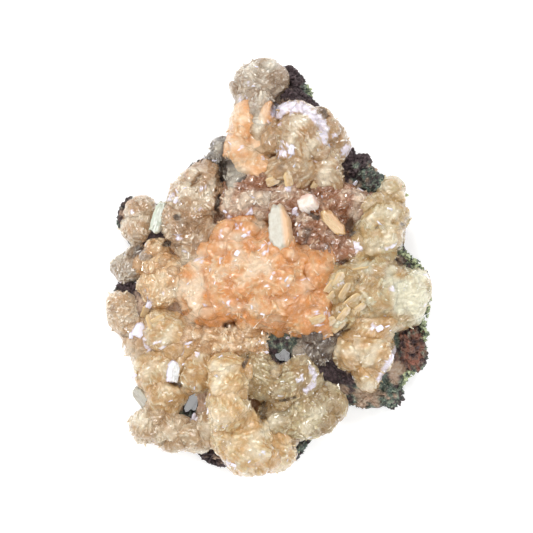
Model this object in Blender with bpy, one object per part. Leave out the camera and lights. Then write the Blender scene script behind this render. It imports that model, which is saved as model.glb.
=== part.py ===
"""Stellerite with heulandite on basalt, a hand specimen lying on the flat cut back of its rock.

The rock is a lumpy slab with a hand-read outline. Each growth of stellerite is a few ribbed lobes joined in
one solid, and each single crystal is a tabular prism with gabled ends. The rock keeps its own shape, and
everything else sits in it: the rock, the crystals and the earlier growths of the list each cut their shape,
a little larger, out of the growths after them. The layout is in millimetres and is scaled to metres at the
end. +Z is up, the face with the crystals looks up, and the origin is under the middle of the flat base.
"""

import math
import random
from collections import namedtuple

import bmesh
import bpy
import numpy as np
from mathutils import Matrix, Vector

# Driving sizes: the real length in metres, and the same length in the millimetres of the layout below.
SPECIMEN_LENGTH = 0.120
LAYOUT_LENGTH = 120.0

# Clearance around a growth or crystal, and around the rock, in millimetres.
GAP = 0.34
ROCK_GAP = 0.60

# How solids are joined and cut, and how a mesh is tidied after it: welding distances and flat angles.
SOLVER = "MANIFOLD"
WELD = 0.004
FLAT_ANGLE = math.radians(0.2)
SHORT_EDGES = (0.05, 0.12, 0.22)
NEARLY_FLAT = math.radians(1.5)

# Lobes by their half width across, and how many sides each size has.
BIG_LOBE = 7.0
BIG_LOBE_SIDES = 10
LOBE_SIDES = 8
SMALL_LOBE = 4.0
SMALL_LOBE_SIDES = 6

# A lobe's swelling over its stated half sizes, and how far its sides are sunk or pushed about.
LOBE_FULLNESS = 1.13
SUNK_SIDE = 0.07
SHEAF_RAGGEDNESS = (0.93, 1.05)

# Where along a lobe its rings stand, and how wide each is on a barrel and on a fan.
SHEAF_STATIONS = ((-0.9, 0.60, 0.28), (-0.5, 0.9, 0.6), (0.05, 1.0, 0.88), (0.55, 0.92, 1.0), (0.9, 0.62, 0.78))

# A crystal's outline as shares of its half sizes: where its gables start, how blunt its two tips are, and
# how much smaller its two large faces are than its middle.
CRYSTAL_SHOULDER = 0.60
FAR_TIP = 0.25
NEAR_TIP = 0.35
CRYSTAL_CHAMFER = 0.84

# The rock's base and rings as shares of its outline, with the height of each ring and of the middle.
ROCK_BASE_INSET = 0.965
ROCK_RINGS = ((1.0, 4.5), (0.98, 8.5), (0.82, 12.5), (0.48, 15.0))
ROCK_SIDE_RINGS = 2
ROCK_RAGGEDNESS = (-0.012, 0.004)
ROCK_ROUGHNESS = 0.7
ROCK_CENTRE_HEIGHT = 16.0
ROCK_SEED = 7

# The field of buds on the drusy growth: its middle and half sizes, then the buds themselves.
BUD_FIELD_MIDDLE = Vector((-2.7, -3.4))
BUD_FIELD_REACH = Vector((23.9, 18.2))
BUD_COUNT = 34
BUD_RADIUS = 2.1
BUD_SIZES = (0.75, 1.25)
BUD_SCATTER = 1.0
BUD_SINK = 0.5
BUD_RIM = 0.06
BUD_SEED = 21

# A lobe's middle, its half sizes along its length, across it and up, the heading of its length, how far its
# far end is lifted, and how much wider the far end is than the near one. Millimetres and degrees.
Lobe = namedtuple("Lobe", "x y z along across up heading lift spread", defaults=(0, 0, 0))

# A crystal's middle, its half length, half width and half thickness, the heading of its length, and how
# far its far end is lifted and its face is rolled.
Crystal = namedtuple("Crystal", "x y z length width thickness heading lift roll", defaults=(0, 0))

# The rock's outline, clockwise from its tip.
ROCK_OUTLINE = (
    (-4.9, 57.4), (-0.3, 58.9), (4.0, 57.7), (9.7, 51.7), (11.1, 48.3), (14.6, 44.9), (16.9, 40.9),
    (23.1, 33.4), (26.3, 31.4), (33.1, 25.4), (36.3, 24.3), (38.0, 21.4), (37.1, 17.4), (38.3, 7.7),
    (40.6, 3.4), (45.7, -1.4), (46.8, -6.3), (45.1, -10.3), (44.3, -15.7), (45.4, -19.7),
    (44.6, -24.6), (38.0, -34.9), (34.6, -39.4), (31.7, -40.9), (21.7, -38.9), (18.6, -39.6),
    (17.4, -42.0), (12.9, -45.1), (10.6, -49.7), (3.1, -57.6), (-7.1, -57.2), (-10.6, -56.2),
    (-14.0, -56.3), (-23.7, -51.7), (-27.7, -49.7), (-34.6, -48.3), (-38.0, -45.7), (-36.6, -41.4),
    (-37.7, -33.7), (-36.9, -28.9), (-37.1, -24.3), (-39.7, -20.3), (-43.1, -17.4), (-45.1, -12.9),
    (-44.6, -7.4), (-41.4, -4.9), (-43.1, 1.4), (-38.6, 4.3), (-42.9, 9.7), (-41.1, 14.9),
    (-38.6, 18.3), (-34.9, 18.8), (-31.4, 18.2), (-28.9, 19.7), (-21.4, 27.7), (-18.0, 29.7),
    (-16.3, 33.4), (-12.3, 35.1), (-10.0, 37.4), (-8.0, 46.3), (-7.4, 55.7),
)

# Knobs of the rock that stand clear of the crystals: mossy lump, crescent, green rind, red patch, foot.
ROCK_KNOBS = (
    Lobe(25.1, 29.7, 11.0, 4.6, 3.8, 7.0, 30),
    Lobe(9.0, 46.6, 12.0, 6.2, 3.0, 7.5, -38),
    Lobe(6.6, 53.6, 9.0, 4.6, 2.6, 6.0, -48), Lobe(30.4, 23.6, 9.5, 4.6, 3.0, 6.0, -15),
    Lobe(42.4, -3.8, 8.0, 5.8, 2.6, 6.0, -60), Lobe(40.6, -23.2, 8.0, 6.4, 3.8, 7.0, -72),
    Lobe(34.0, -35.6, 7.0, 5.0, 3.2, 5.5, -50), Lobe(27.0, -37.4, 6.5, 6.0, 2.6, 5.0, -5),
    Lobe(21.0, -31.0, 8.0, 4.0, 3.4, 5.0, -40), Lobe(7.6, -51.6, 6.5, 5.0, 2.4, 4.6, 48),
    Lobe(-15.6, -54.6, 6.0, 4.6, 2.0, 4.4, -22), Lobe(-40.6, -6.4, 7.0, 3.6, 2.4, 4.6, 20),
    Lobe(-40.6, 15.4, 7.0, 4.6, 2.2, 5.0, 70), Lobe(-20.6, 27.0, 10.0, 3.6, 2.4, 6.4, 40),
)

# See-through gaps of the specimen: middle, half width, half length and heading.
GAPS = ((-22.6, -38.6, 1.9, 3.6, -8), (4.2, -25.7, 2.1, 1.7, 0))
GAP_SIDES = 8
GAP_DEPTH = 60.0

# The single crystals. Each cuts its place out of the growths.
CRYSTALS = {
    "standing_blade": ("pale_cream", (Crystal(3.4, 10.6, 27.6, 7.4, 3.6, 3.0, -80, 14, 12),)),
    "white_block": ("white", (Crystal(11.1, 18.0, 25.0, 3.1, 2.6, 2.2, 20, 12, -20),)),
    "amber_crystal": ("amber", (Crystal(18.2, 12.6, 24.6, 4.9, 2.3, 1.7, -47, -6, 18),)),
    "striped_plate": ("white", (Crystal(-27.3, -29.7, 19.6, 3.3, 1.9, 1.5, 80, 10, 10),)),
    "green_white_plate": ("green_white", (Crystal(-31.4, 14.3, 17.4, 5.0, 1.8, 1.6, 72, 4, -14),)),
    "square_plate": ("white", (Crystal(-37.0, -18.0, 15.6, 2.3, 1.8, 1.1, 60, 8, 12),)),
    "grey_blade": ("grey_white", (Crystal(-36.2, -37.5, 11.0, 4.0, 1.9, 1.6, -52, 10, 24),)),
}

# The growths, in the order in which each cuts its place out of those after it.
GROWTHS = {
    "lower_column": ("cream_gold", (
        Lobe(-12.2, -27.9, 21.5, 5.1, 3.0, 8.0, 0), Lobe(-11.7, -33.4, 24.0, 5.2, 4.0, 10.0, 10),
        Lobe(-11.6, -40.3, 24.0, 5.8, 5.3, 11.5, 20), Lobe(-12.0, -48.4, 18.5, 5.0, 3.8, 9.0, 90),
        Lobe(-5.4, -51.0, 20.0, 8.1, 6.0, 10.5, -95, 8, 0.3), Lobe(1.4, -52.0, 15.0, 6.2, 5.0, 9.0, -60),
    )),
    "central_drift": ("orange", (
        Lobe(-3.1, -2.6, 17.0, 17.0, 13.4, 16.0, -15), Lobe(-17.6, -6.4, 15.0, 9.0, 8.0, 12.0, -62),
        Lobe(8.9, -11.0, 18.0, 9.2, 7.4, 11.5, -10), Lobe(-8.3, 7.7, 19.0, 7.2, 5.8, 10.0, 20),
        Lobe(12.6, -1.0, 18.0, 7.0, 5.8, 11.0, 70), Lobe(-15.6, -12.0, 15.5, 6.4, 4.4, 9.0, -8),
        Lobe(13.2, -15.6, 17.0, 5.4, 4.2, 9.0, 0),
    )),
    "crown": ("olive_cream", (
        Lobe(8.9, 37.4, 18.0, 7.6, 7.4, 11.0, 65), Lobe(18.2, 37.6, 13.5, 5.2, 3.6, 7.5, -62),
        Lobe(0.8, 36.9, 17.0, 4.0, 3.4, 7.5, 10), Lobe(16.2, 28.6, 17.0, 6.6, 4.6, 8.0, -82, 0, 0.2),
        Lobe(6.0, 27.2, 20.5, 6.4, 4.2, 8.0, 4), Lobe(5.4, 44.9, 21.5, 3.2, 1.5, 5.0, 25),
        Lobe(10.4, 44.4, 21.5, 3.2, 1.4, 5.0, -20), Lobe(14.4, 40.4, 20.5, 3.6, 1.5, 5.0, -58),
    )),
    "right_fan": ("fan_cream", (
        Lobe(36.8, -8.2, 12.0, 9.0, 7.6, 10.0, -8, 0, 0.25), Lobe(27.6, -6.6, 15.0, 8.8, 7.6, 11.0, -20),
        Lobe(19.9, -4.8, 18.5, 5.4, 3.8, 9.5, 70), Lobe(21.2, -13.0, 16.0, 5.4, 3.6, 9.0, 40),
        Lobe(30.0, -1.6, 16.5, 6.4, 2.6, 8.0, 8),
    )),
    "middle_fans": ("beige", (
        Lobe(-2.2, -31.3, 17.5, 6.6, 5.0, 9.0, -75, 0, 0.2), Lobe(7.2, -32.4, 18.0, 7.2, 5.4, 10.0, 25, 8, 0.3),
        Lobe(9.2, -43.0, 16.0, 9.8, 6.0, 10.0, 14, 0, 0.2), Lobe(17.6, -37.6, 11.5, 4.4, 3.6, 7.6, -30),
        Lobe(2.6, -39.6, 14.5, 5.0, 3.2, 7.0, 80),
    )),
    "right_ball": ("ball_cream", (
        Lobe(31.6, 10.4, 14.0, 9.0, 7.0, 11.0, 80), Lobe(35.0, 22.2, 11.5, 3.8, 3.2, 7.5, 60),
        Lobe(26.2, 4.6, 15.0, 4.0, 3.2, 8.0, 50), Lobe(34.0, 16.6, 13.0, 4.6, 4.2, 8.0, 70),
    )),
    "left_domes": ("gold_beige", (
        Lobe(-29.4, -18.4, 13.5, 6.2, 5.4, 9.5, -20), Lobe(-32.0, -29.0, 11.5, 6.8, 5.6, 8.5, 200, 0, 0.2),
        Lobe(-21.0, -29.9, 14.0, 6.2, 4.5, 9.5, 85), Lobe(-29.2, -36.8, 11.5, 5.2, 4.6, 8.5, 10),
        Lobe(-24.6, -23.6, 13.0, 4.4, 4.0, 8.0, 0),
    )),
    "cream_lobes": ("cream_gold", (
        Lobe(-32.3, 5.1, 14.0, 3.0, 2.8, 6.5, 0), Lobe(-32.9, 1.6, 14.0, 3.6, 3.2, 7.0, 0),
        Lobe(-28.2, 0.4, 15.0, 2.6, 2.4, 6.0, 0), Lobe(-30.9, -5.6, 13.0, 6.2, 5.4, 9.5, 30),
    )),
    "orange_tongue": ("deep_orange", (
        Lobe(-7.3, 40.6, 13.5, 6.6, 3.7, 8.0, 80), Lobe(-2.0, 40.6, 14.5, 7.6, 3.2, 8.5, 85),
        Lobe(-6.3, 30.8, 16.5, 7.6, 4.0, 8.5, -38, 0, 0.15),
    )),
    "right_lobes": ("gold_beige", (
        Lobe(22.6, -24.4, 14.0, 5.0, 3.2, 9.0, 90), Lobe(29.4, -23.8, 13.0, 6.8, 5.3, 10.0, -40),
        Lobe(28.2, -31.4, 11.0, 4.4, 3.4, 8.0, -70), Lobe(29.8, -16.6, 14.0, 6.0, 3.8, 9.0, 0),
    )),
    "left_shoulder": ("beige_pink", (
        Lobe(-21.8, 18.9, 14.0, 8.6, 6.6, 9.5, 62), Lobe(-18.8, 24.6, 13.0, 4.4, 3.8, 8.0, 30),
        Lobe(-24.2, 12.6, 14.0, 6.2, 5.0, 8.5, 20), Lobe(-20.8, 7.2, 13.5, 7.0, 5.6, 8.5, -10),
    )),
    "top_knob": ("grey_cream", (
        Lobe(-2.9, 52.7, 11.0, 6.2, 5.8, 7.5, 125, 0, 0.25), Lobe(0.6, 52.9, 10.5, 4.8, 4.2, 7.0, 60),
        Lobe(-5.6, 48.4, 10.5, 4.4, 3.0, 6.5, 92),
    )),
    "back_druse": ("brown_mauve", (
        Lobe(-6.9, 18.6, 17.0, 7.2, 5.6, 9.0, 5), Lobe(5.8, 18.8, 17.5, 7.0, 5.2, 9.0, 0),
        Lobe(-4.3, 23.4, 18.0, 4.4, 3.0, 8.0, 10), Lobe(12.0, 10.8, 17.5, 6.0, 6.0, 9.5, 0),
        Lobe(19.6, 5.8, 16.0, 5.6, 5.0, 9.0, -30), Lobe(17.0, 17.6, 15.5, 6.8, 4.8, 9.0, 10),
        Lobe(25.0, 18.6, 14.0, 4.2, 3.4, 8.0, -10),
    )),
    "peach_ledge": ("peach", (
        Lobe(-13.0, -21.0, 13.5, 8.6, 4.8, 8.5, 0), Lobe(-5.6, -21.6, 13.5, 5.4, 4.2, 8.0, 0),
        Lobe(-20.4, -20.2, 13.0, 5.0, 4.2, 7.5, 10),
    )),
    "mauve_lump": ("mauve", (
        Lobe(13.6, -23.0, 11.5, 6.0, 4.7, 7.5, 15), Lobe(16.6, -20.2, 12.5, 4.0, 3.0, 7.0, 30),
    )),
    "lower_left_lumps": ("brown_gold", (
        Lobe(-35.0, -45.4, 9.0, 4.9, 4.8, 8.0, 30), Lobe(-29.0, -46.4, 10.5, 5.2, 3.6, 8.0, -84, 0, 0.2),
        Lobe(-23.0, -48.4, 10.5, 5.0, 3.8, 8.0, -40), Lobe(-17.8, -46.4, 11.0, 6.0, 3.1, 8.5, 86),
    )),
    "left_cluster": ("pink_beige", (
        Lobe(-42.3, -12.8, 8.5, 5.9, 4.6, 8.0, -75), Lobe(-38.4, -19.2, 8.5, 4.0, 3.2, 6.5, -50),
        Lobe(-36.8, -22.4, 9.0, 3.2, 2.6, 7.0, 70),
    )),
    "left_wedge": ("grey_cream", (
        Lobe(-39.0, 0.6, 8.0, 6.2, 3.6, 7.0, 205, 0, 0.3), Lobe(-36.0, 2.2, 9.5, 3.6, 2.8, 6.0, 30),
    )),
    "far_left_balls": ("grey_pink", (
        Lobe(-36.0, 17.2, 9.0, 3.6, 3.2, 7.0, 0), Lobe(-37.8, 11.8, 9.0, 5.0, 4.2, 7.5, 60),
    )),
    "grey_lump": ("grey_white", (
        Lobe(-13.8, 31.2, 11.0, 4.4, 3.6, 7.5, 50), Lobe(-9.8, 26.6, 13.0, 4.6, 3.2, 7.5, 75),
    )),
}

# The drusy growth, whose lobes are covered with small buds.
BUDDED_GROWTH = "central_drift"

# Base colour and roughness of each material.
MATERIALS = {
    "basalt": ((0.075, 0.055, 0.058), 0.90),
    "orange": ((0.85, 0.44, 0.17), 0.35),
    "deep_orange": ((0.88, 0.42, 0.13), 0.35),
    "peach": ((0.80, 0.50, 0.27), 0.38),
    "cream_gold": ((0.80, 0.60, 0.32), 0.32),
    "gold_beige": ((0.74, 0.52, 0.29), 0.34),
    "olive_cream": ((0.68, 0.55, 0.35), 0.30),
    "ball_cream": ((0.72, 0.56, 0.32), 0.34),
    "fan_cream": ((0.76, 0.68, 0.45), 0.30),
    "beige": ((0.68, 0.50, 0.31), 0.36),
    "beige_pink": ((0.62, 0.42, 0.29), 0.38),
    "pink_beige": ((0.64, 0.42, 0.31), 0.36),
    "brown_gold": ((0.58, 0.38, 0.23), 0.36),
    "brown_mauve": ((0.48, 0.31, 0.23), 0.38),
    "mauve": ((0.46, 0.33, 0.26), 0.38),
    "grey_cream": ((0.56, 0.46, 0.35), 0.42),
    "grey_pink": ((0.52, 0.40, 0.31), 0.42),
    "grey_white": ((0.55, 0.50, 0.43), 0.40),
    "pale_cream": ((0.72, 0.64, 0.52), 0.25),
    "amber": ((0.72, 0.46, 0.20), 0.22),
    "green_white": ((0.66, 0.68, 0.56), 0.22),
    "white": ((0.82, 0.78, 0.74), 0.20),
}


def clear_scene():
    for obj in list(bpy.data.objects):
        bpy.data.objects.remove(obj)


def material(name):
    """A Principled material of the named colour, made once and then shared."""
    found = bpy.data.materials.get(name)
    if found:
        return found
    colour, roughness = MATERIALS[name]
    made = bpy.data.materials.new(name)
    made.use_nodes = True
    shader = made.node_tree.nodes["Principled BSDF"]
    shader.inputs["Base Color"].default_value = (*colour, 1.0)
    shader.inputs["Roughness"].default_value = roughness
    made.diffuse_color = (*colour, 1.0)
    return made


def solid_object(name, points, faces):
    """An object of the closed surface that the faces make, with its faces turned outwards."""
    mesh = bpy.data.meshes.new(name)
    mesh.from_pydata([tuple(point) for point in points], [], faces)
    cleaned = bmesh.new()
    cleaned.from_mesh(mesh)
    bmesh.ops.recalc_face_normals(cleaned, faces=cleaned.faces)
    bmesh.ops.triangulate(cleaned, faces=cleaned.faces)
    cleaned.to_mesh(mesh)
    cleaned.free()
    obj = bpy.data.objects.new(name, mesh)
    bpy.context.scene.collection.objects.link(obj)
    return obj


def ring_faces(rings, sides):
    """Triangles between rings of equal size, whose first and last points are single poles."""
    faces = []
    last = 1 + rings * sides
    for side in range(sides):
        after = (side + 1) % sides
        faces.append((0, 1 + side, 1 + after))
        faces.append((last, last - sides + after, last - sides + side))
        for ring in range(rings - 1):
            low = 1 + ring * sides
            high = low + sides
            faces.append((low + side, high + side, high + after))
            faces.append((low + side, high + after, low + after))
    return faces


def placement(item, middle):
    """Turns a shape's length to its heading and lift, then moves it to its place."""
    turned = Matrix.Rotation(math.radians(item.heading), 4, "Z")
    lifted = Matrix.Rotation(-math.radians(item.lift), 4, "Y")
    return Matrix.Translation(middle) @ turned @ lifted


def lobe_object(name, lobe, grow=0.0):
    """A sheaf of thick plates: a barrel or fan whose flat sides run from its near end to its far end.

    Its width at each station is a mix of the barrel's and the fan's, by the lobe's spread. Every second
    side is sunk, and each corner is pushed in or out a little, by a draw that depends on the lobe's place.
    """
    big = lobe.across >= BIG_LOBE
    small = lobe.across < SMALL_LOBE
    sides = BIG_LOBE_SIDES if big else SMALL_LOBE_SIDES if small else LOBE_SIDES
    luck = random.Random(round(lobe.x * 10) + 1000 * round(lobe.y * 10))
    along, across = (half * LOBE_FULLNESS + grow for half in (lobe.along, lobe.across))
    up = lobe.up + grow
    points = [(-along, 0, 0)]
    for station, barrel, fan in SHEAF_STATIONS if big else SHEAF_STATIONS[::2]:
        width = barrel + (fan - barrel) * lobe.spread
        for side in range(sides):
            turn = 2 * math.pi * (side + 0.5) / sides
            reach = width * (1 - SUNK_SIDE * (side % 2)) * luck.uniform(*SHEAF_RAGGEDNESS)
            points.append((along * station, across * reach * math.cos(turn), up * reach * math.sin(turn)))
    points.append((along, 0, 0))
    obj = solid_object(name, points, ring_faces((len(points) - 2) // sides, sides))
    obj.data.transform(placement(lobe, Vector((lobe.x, lobe.y, lobe.z))))
    return obj


def crystal_object(name, crystal, grow=0.0):
    """A tabular crystal: an eight-sided outline with gabled ends, thick in the middle and chamfered."""
    length, width, half = (size + grow for size in (crystal.length, crystal.width, crystal.thickness))
    shoulder = CRYSTAL_SHOULDER * length
    outline = np.array((
        (length, FAR_TIP * width), (shoulder, width), (-shoulder, width), (-length, NEAR_TIP * width),
        (-length, -NEAR_TIP * width), (-shoulder, -width), (shoulder, -width), (length, -FAR_TIP * width),
    ))
    sides = len(outline)
    layers = ((-half, CRYSTAL_CHAMFER), (-0.5 * half, 1.0), (0.5 * half, 1.0), (half, CRYSTAL_CHAMFER))
    points = [(x * scale, y * scale, z) for z, scale in layers for x, y in outline]
    faces = [tuple(range(sides)), tuple(range(3 * sides, 4 * sides))]
    for layer in range(3):
        for side in range(sides):
            after = (side + 1) % sides
            low = layer * sides
            faces.append((low + side, low + after, low + sides + after, low + sides + side))
    obj = solid_object(name, points, faces)
    rolled = Matrix.Rotation(math.radians(crystal.roll), 4, "X")
    obj.data.transform(placement(crystal, Vector((crystal.x, crystal.y, crystal.z))) @ rolled)
    return obj


def apply_boolean(target, operation, tools):
    """Joins the tools to the target, or cuts them from it, and deletes the tools that were joined."""
    group = bpy.data.collections.new("tools")
    bpy.context.scene.collection.children.link(group)
    for tool in tools:
        group.objects.link(tool)
    modifier = target.modifiers.new(operation.title(), "BOOLEAN")
    modifier.operation = operation
    modifier.solver = SOLVER
    modifier.operand_type = "COLLECTION"
    modifier.collection = group
    graph = bpy.context.evaluated_depsgraph_get()
    result = bpy.data.meshes.new_from_object(target.evaluated_get(graph))
    target.modifiers.remove(modifier)
    target.data = result
    bpy.data.collections.remove(group)
    if operation == "UNION":
        for tool in tools:
            bpy.data.objects.remove(tool)


def tidied(mesh, short_edge, flat_angle):
    """The mesh with its shortest edges closed up and split flat faces joined, where that leaves it closed."""
    trial = mesh.copy()
    bmesh.ops.dissolve_degenerate(trial, edges=trial.edges, dist=short_edge)
    bmesh.ops.dissolve_limit(trial, angle_limit=flat_angle, verts=trial.verts, edges=trial.edges)
    bmesh.ops.triangulate(trial, faces=trial.faces)
    if all(edge.is_manifold for edge in trial.edges):
        mesh.free()
        return trial
    trial.free()
    return mesh


def loose_bodies(mesh):
    """The connected bodies of a bmesh, as sets of vertices."""
    waiting = set(mesh.verts)
    bodies = []
    while waiting:
        body = set()
        border = [waiting.pop()]
        while border:
            vertex = border.pop()
            body.add(vertex)
            for edge in vertex.link_edges:
                other = edge.other_vert(vertex)
                if other in waiting:
                    waiting.remove(other)
                    border.append(other)
        bodies.append(body)
    return bodies


def drop_crumbs(obj):
    """Keeps the largest body where a cut has left crumbs beside it."""
    mesh = bmesh.new()
    mesh.from_mesh(obj.data)
    bodies = sorted(loose_bodies(mesh), key=len)
    crumbs = [vertex for body in bodies[:-1] for vertex in body]
    bmesh.ops.delete(mesh, geom=crumbs, context="VERTS")
    mesh = tidied(mesh, WELD, FLAT_ANGLE)
    mesh.to_mesh(obj.data)
    mesh.free()


def joined(name, shapes):
    """One solid made of the shapes, which overlap."""
    first, *others = shapes
    for other in others:
        apply_boolean(first, "UNION", [other])
    first.name = name
    drop_crumbs(first)
    return first


def surface_height(lobes, x, y):
    """The height of the highest lobe over a place, or None beside them all, in millimetres."""
    heights = []
    for lobe in lobes:
        turned = Vector((x - lobe.x, y - lobe.y)) @ Matrix.Rotation(math.radians(lobe.heading), 2)
        inside = 1 - (turned.x / lobe.along) ** 2 - (turned.y / lobe.across) ** 2
        if inside > BUD_RIM:
            heights.append(lobe.z + lobe.up * math.sqrt(inside))
    return max(heights, default=None)


def bud_places(lobes):
    """Places spread over a growth by a golden-angle spiral, pushed about a little, with their radius."""
    luck = random.Random(BUD_SEED)
    golden = math.pi * (3 - math.sqrt(5))
    for index in range(BUD_COUNT):
        out = math.sqrt((index + 0.5) / BUD_COUNT)
        x = BUD_FIELD_MIDDLE.x + BUD_FIELD_REACH.x * out * math.cos(index * golden)
        y = BUD_FIELD_MIDDLE.y + BUD_FIELD_REACH.y * out * math.sin(index * golden)
        x += luck.uniform(-BUD_SCATTER, BUD_SCATTER)
        y += luck.uniform(-BUD_SCATTER, BUD_SCATTER)
        z = surface_height(lobes, x, y)
        if z is not None:
            yield Vector((x, y, z - BUD_SINK)), BUD_RADIUS * luck.uniform(*BUD_SIZES)


def bud_object(name, place, radius, grow=0.0):
    """A bud: a twenty-faced lump, flattened a little and turned by its place."""
    shape = bmesh.new()
    bmesh.ops.create_icosphere(shape, subdivisions=1, radius=radius + grow)
    mesh = bpy.data.meshes.new(name)
    shape.to_mesh(mesh)
    shape.free()
    turn = Matrix.Rotation(place.x + place.y, 4, "Z") @ Matrix.Rotation(place.x, 4, "X")
    mesh.transform(Matrix.Translation(place) @ turn)
    obj = bpy.data.objects.new(name, mesh)
    bpy.context.scene.collection.objects.link(obj)
    return obj


def growth_solid(name, lobes, budded, grow=0.0):
    """The lobes of one growth joined, with buds over them if it is the drusy one."""
    shapes = [lobe_object(name, lobe, grow) for lobe in lobes]
    if budded:
        shapes += [bud_object(name, place, radius, grow) for place, radius in bud_places(lobes)]
    return joined(name, shapes)


def outline_normals(outline):
    """The outward direction at each corner of a clockwise outline."""
    normals = []
    for index, corner in enumerate(outline):
        along = outline[(index + 1) % len(outline)] - outline[index - 1]
        normals.append(Vector((-along.y, along.x)).normalized())
    return normals


def rock_solid(name, grow=0.0):
    """The slab: the outline at several heights, each ring smaller than the last, with a rough surface."""
    luck = random.Random(ROCK_SEED)
    outline = [Vector((x, y)) for x, y in ROCK_OUTLINE]
    sides = len(outline)
    outward = outline_normals(outline)
    points = [Vector((0, 0, -grow))]
    for corner, normal in zip(outline, outward):
        points.append(Vector((*(corner * ROCK_BASE_INSET + normal * grow), -grow)))
    for ring, (scale, height) in enumerate(ROCK_RINGS):
        side_growth = grow if ring < ROCK_SIDE_RINGS else 0.0
        for corner, normal in zip(outline, outward):
            out = corner * (scale * (1 + luck.uniform(*ROCK_RAGGEDNESS)))
            level = height + luck.uniform(-ROCK_ROUGHNESS, ROCK_ROUGHNESS)
            points.append(Vector((*(out + normal * side_growth), level + grow)))
    points.append(Vector((0, 0, ROCK_CENTRE_HEIGHT + grow)))
    slab = solid_object(name, points, ring_faces(1 + len(ROCK_RINGS), sides))
    return joined(name, [slab, *(lobe_object("knob", knob, grow) for knob in ROCK_KNOBS)])


def gap_object(x, y, half_width, half_length, heading):
    """A cutter right through the specimen, oval in plan."""
    points = []
    for height in (-GAP_DEPTH, GAP_DEPTH):
        for side in range(GAP_SIDES):
            angle = 2 * math.pi * side / GAP_SIDES
            points.append(Vector((half_width * math.cos(angle), half_length * math.sin(angle), height)))
    around = [(side, (side + 1) % GAP_SIDES) for side in range(GAP_SIDES)]
    faces = [tuple(range(GAP_SIDES)), tuple(range(GAP_SIDES, 2 * GAP_SIDES))]
    faces += [(low, after, GAP_SIDES + after, GAP_SIDES + low) for low, after in around]
    obj = solid_object("gap", points, faces)
    obj.data.transform(Matrix.Translation(Vector((x, y, 0))) @ Matrix.Rotation(math.radians(heading), 4, "Z"))
    return obj


def box_of(obj):
    points = np.array([vertex.co for vertex in obj.data.vertices])
    return points.min(axis=0), points.max(axis=0)


def overlapping(obj, cutters):
    """The cutters whose boxes meet the object's."""
    low, high = box_of(obj)
    found = []
    for cutter in cutters:
        cutter_low, cutter_high = box_of(cutter)
        if (cutter_low < high).all() and (cutter_high > low).all():
            found.append(cutter)
    return found


def cut_by(obj, cutters):
    """Cuts from the object every cutter that reaches it."""
    for cutter in overlapping(obj, cutters):
        apply_boolean(obj, "DIFFERENCE", [cutter])
        drop_crumbs(obj)


def finish_node(obj, colour):
    """Brings a finished solid from millimetres to its real size in metres, and gives it its material."""
    mesh = bmesh.new()
    mesh.from_mesh(obj.data)
    for short_edge in SHORT_EDGES:
        mesh = tidied(mesh, short_edge, NEARLY_FLAT)
    mesh.to_mesh(obj.data)
    mesh.free()
    obj.data.transform(Matrix.Scale(SPECIMEN_LENGTH / LAYOUT_LENGTH, 4))
    obj.data.materials.clear()
    obj.data.materials.append(material(colour))
    for polygon in obj.data.polygons:
        polygon.use_smooth = False
        polygon.material_index = 0


def build():
    clear_scene()
    gaps = [gap_object(*gap) for gap in GAPS]
    rock = rock_solid("basalt_matrix")
    cut_by(rock, gaps)
    finished = [(rock, "basalt")]
    cutters = [rock_solid("rock_place", ROCK_GAP)]
    for name, (colour, (crystal,)) in CRYSTALS.items():
        node = crystal_object(name, crystal)
        cut_by(node, cutters[:1])
        finished.append((node, colour))
        cutters.append(crystal_object(name + "_place", crystal, GAP))
    for name, (colour, lobes) in GROWTHS.items():
        budded = name == BUDDED_GROWTH
        node = growth_solid(name, lobes, budded)
        cut_by(node, cutters + gaps)
        finished.append((node, colour))
        cutters.append(growth_solid(name + "_place", lobes, budded, GAP))
    for cutter in cutters + gaps:
        bpy.data.objects.remove(cutter)
    for node, colour in finished:
        finish_node(node, colour)


build()
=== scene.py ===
"""Stellerite with heulandite on basalt: the look of one hand specimen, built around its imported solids.

Run as a script, it makes the rock, the growths of stellerite, the single crystals and the stage, in that
order. The tables are in millimetres in the frame of the solids: +Z up, out of the face with the crystals,
+Y towards the narrow tip, and the origin under the middle of the flat base.
"""

import math
from collections import namedtuple

import bpy
import numpy as np
from bpy.props import FloatProperty, FloatVectorProperty, IntProperty, PointerProperty
from mathutils import Euler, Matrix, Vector


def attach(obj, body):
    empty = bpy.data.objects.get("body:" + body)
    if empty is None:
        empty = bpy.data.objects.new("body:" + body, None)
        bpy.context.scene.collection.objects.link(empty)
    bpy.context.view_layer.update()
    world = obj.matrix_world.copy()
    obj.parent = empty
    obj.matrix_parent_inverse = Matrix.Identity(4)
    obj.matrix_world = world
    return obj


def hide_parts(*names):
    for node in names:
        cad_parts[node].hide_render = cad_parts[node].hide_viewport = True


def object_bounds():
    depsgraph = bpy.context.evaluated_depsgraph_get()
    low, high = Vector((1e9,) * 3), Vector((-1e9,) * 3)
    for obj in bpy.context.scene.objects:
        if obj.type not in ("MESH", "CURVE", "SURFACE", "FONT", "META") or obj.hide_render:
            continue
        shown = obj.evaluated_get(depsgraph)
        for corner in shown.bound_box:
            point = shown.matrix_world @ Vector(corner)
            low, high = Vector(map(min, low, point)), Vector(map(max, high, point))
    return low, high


bl_info = {
    "name": "Stellerite specimen",
    "version": (1, 0, 0),
    "blender": (4, 5, 0),
    "location": "3D View > Sidebar > Specimen",
    "description": "Builds a mineral specimen of stellerite and heulandite on basalt, with its stage",
    "category": "Add Mesh",
}

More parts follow.
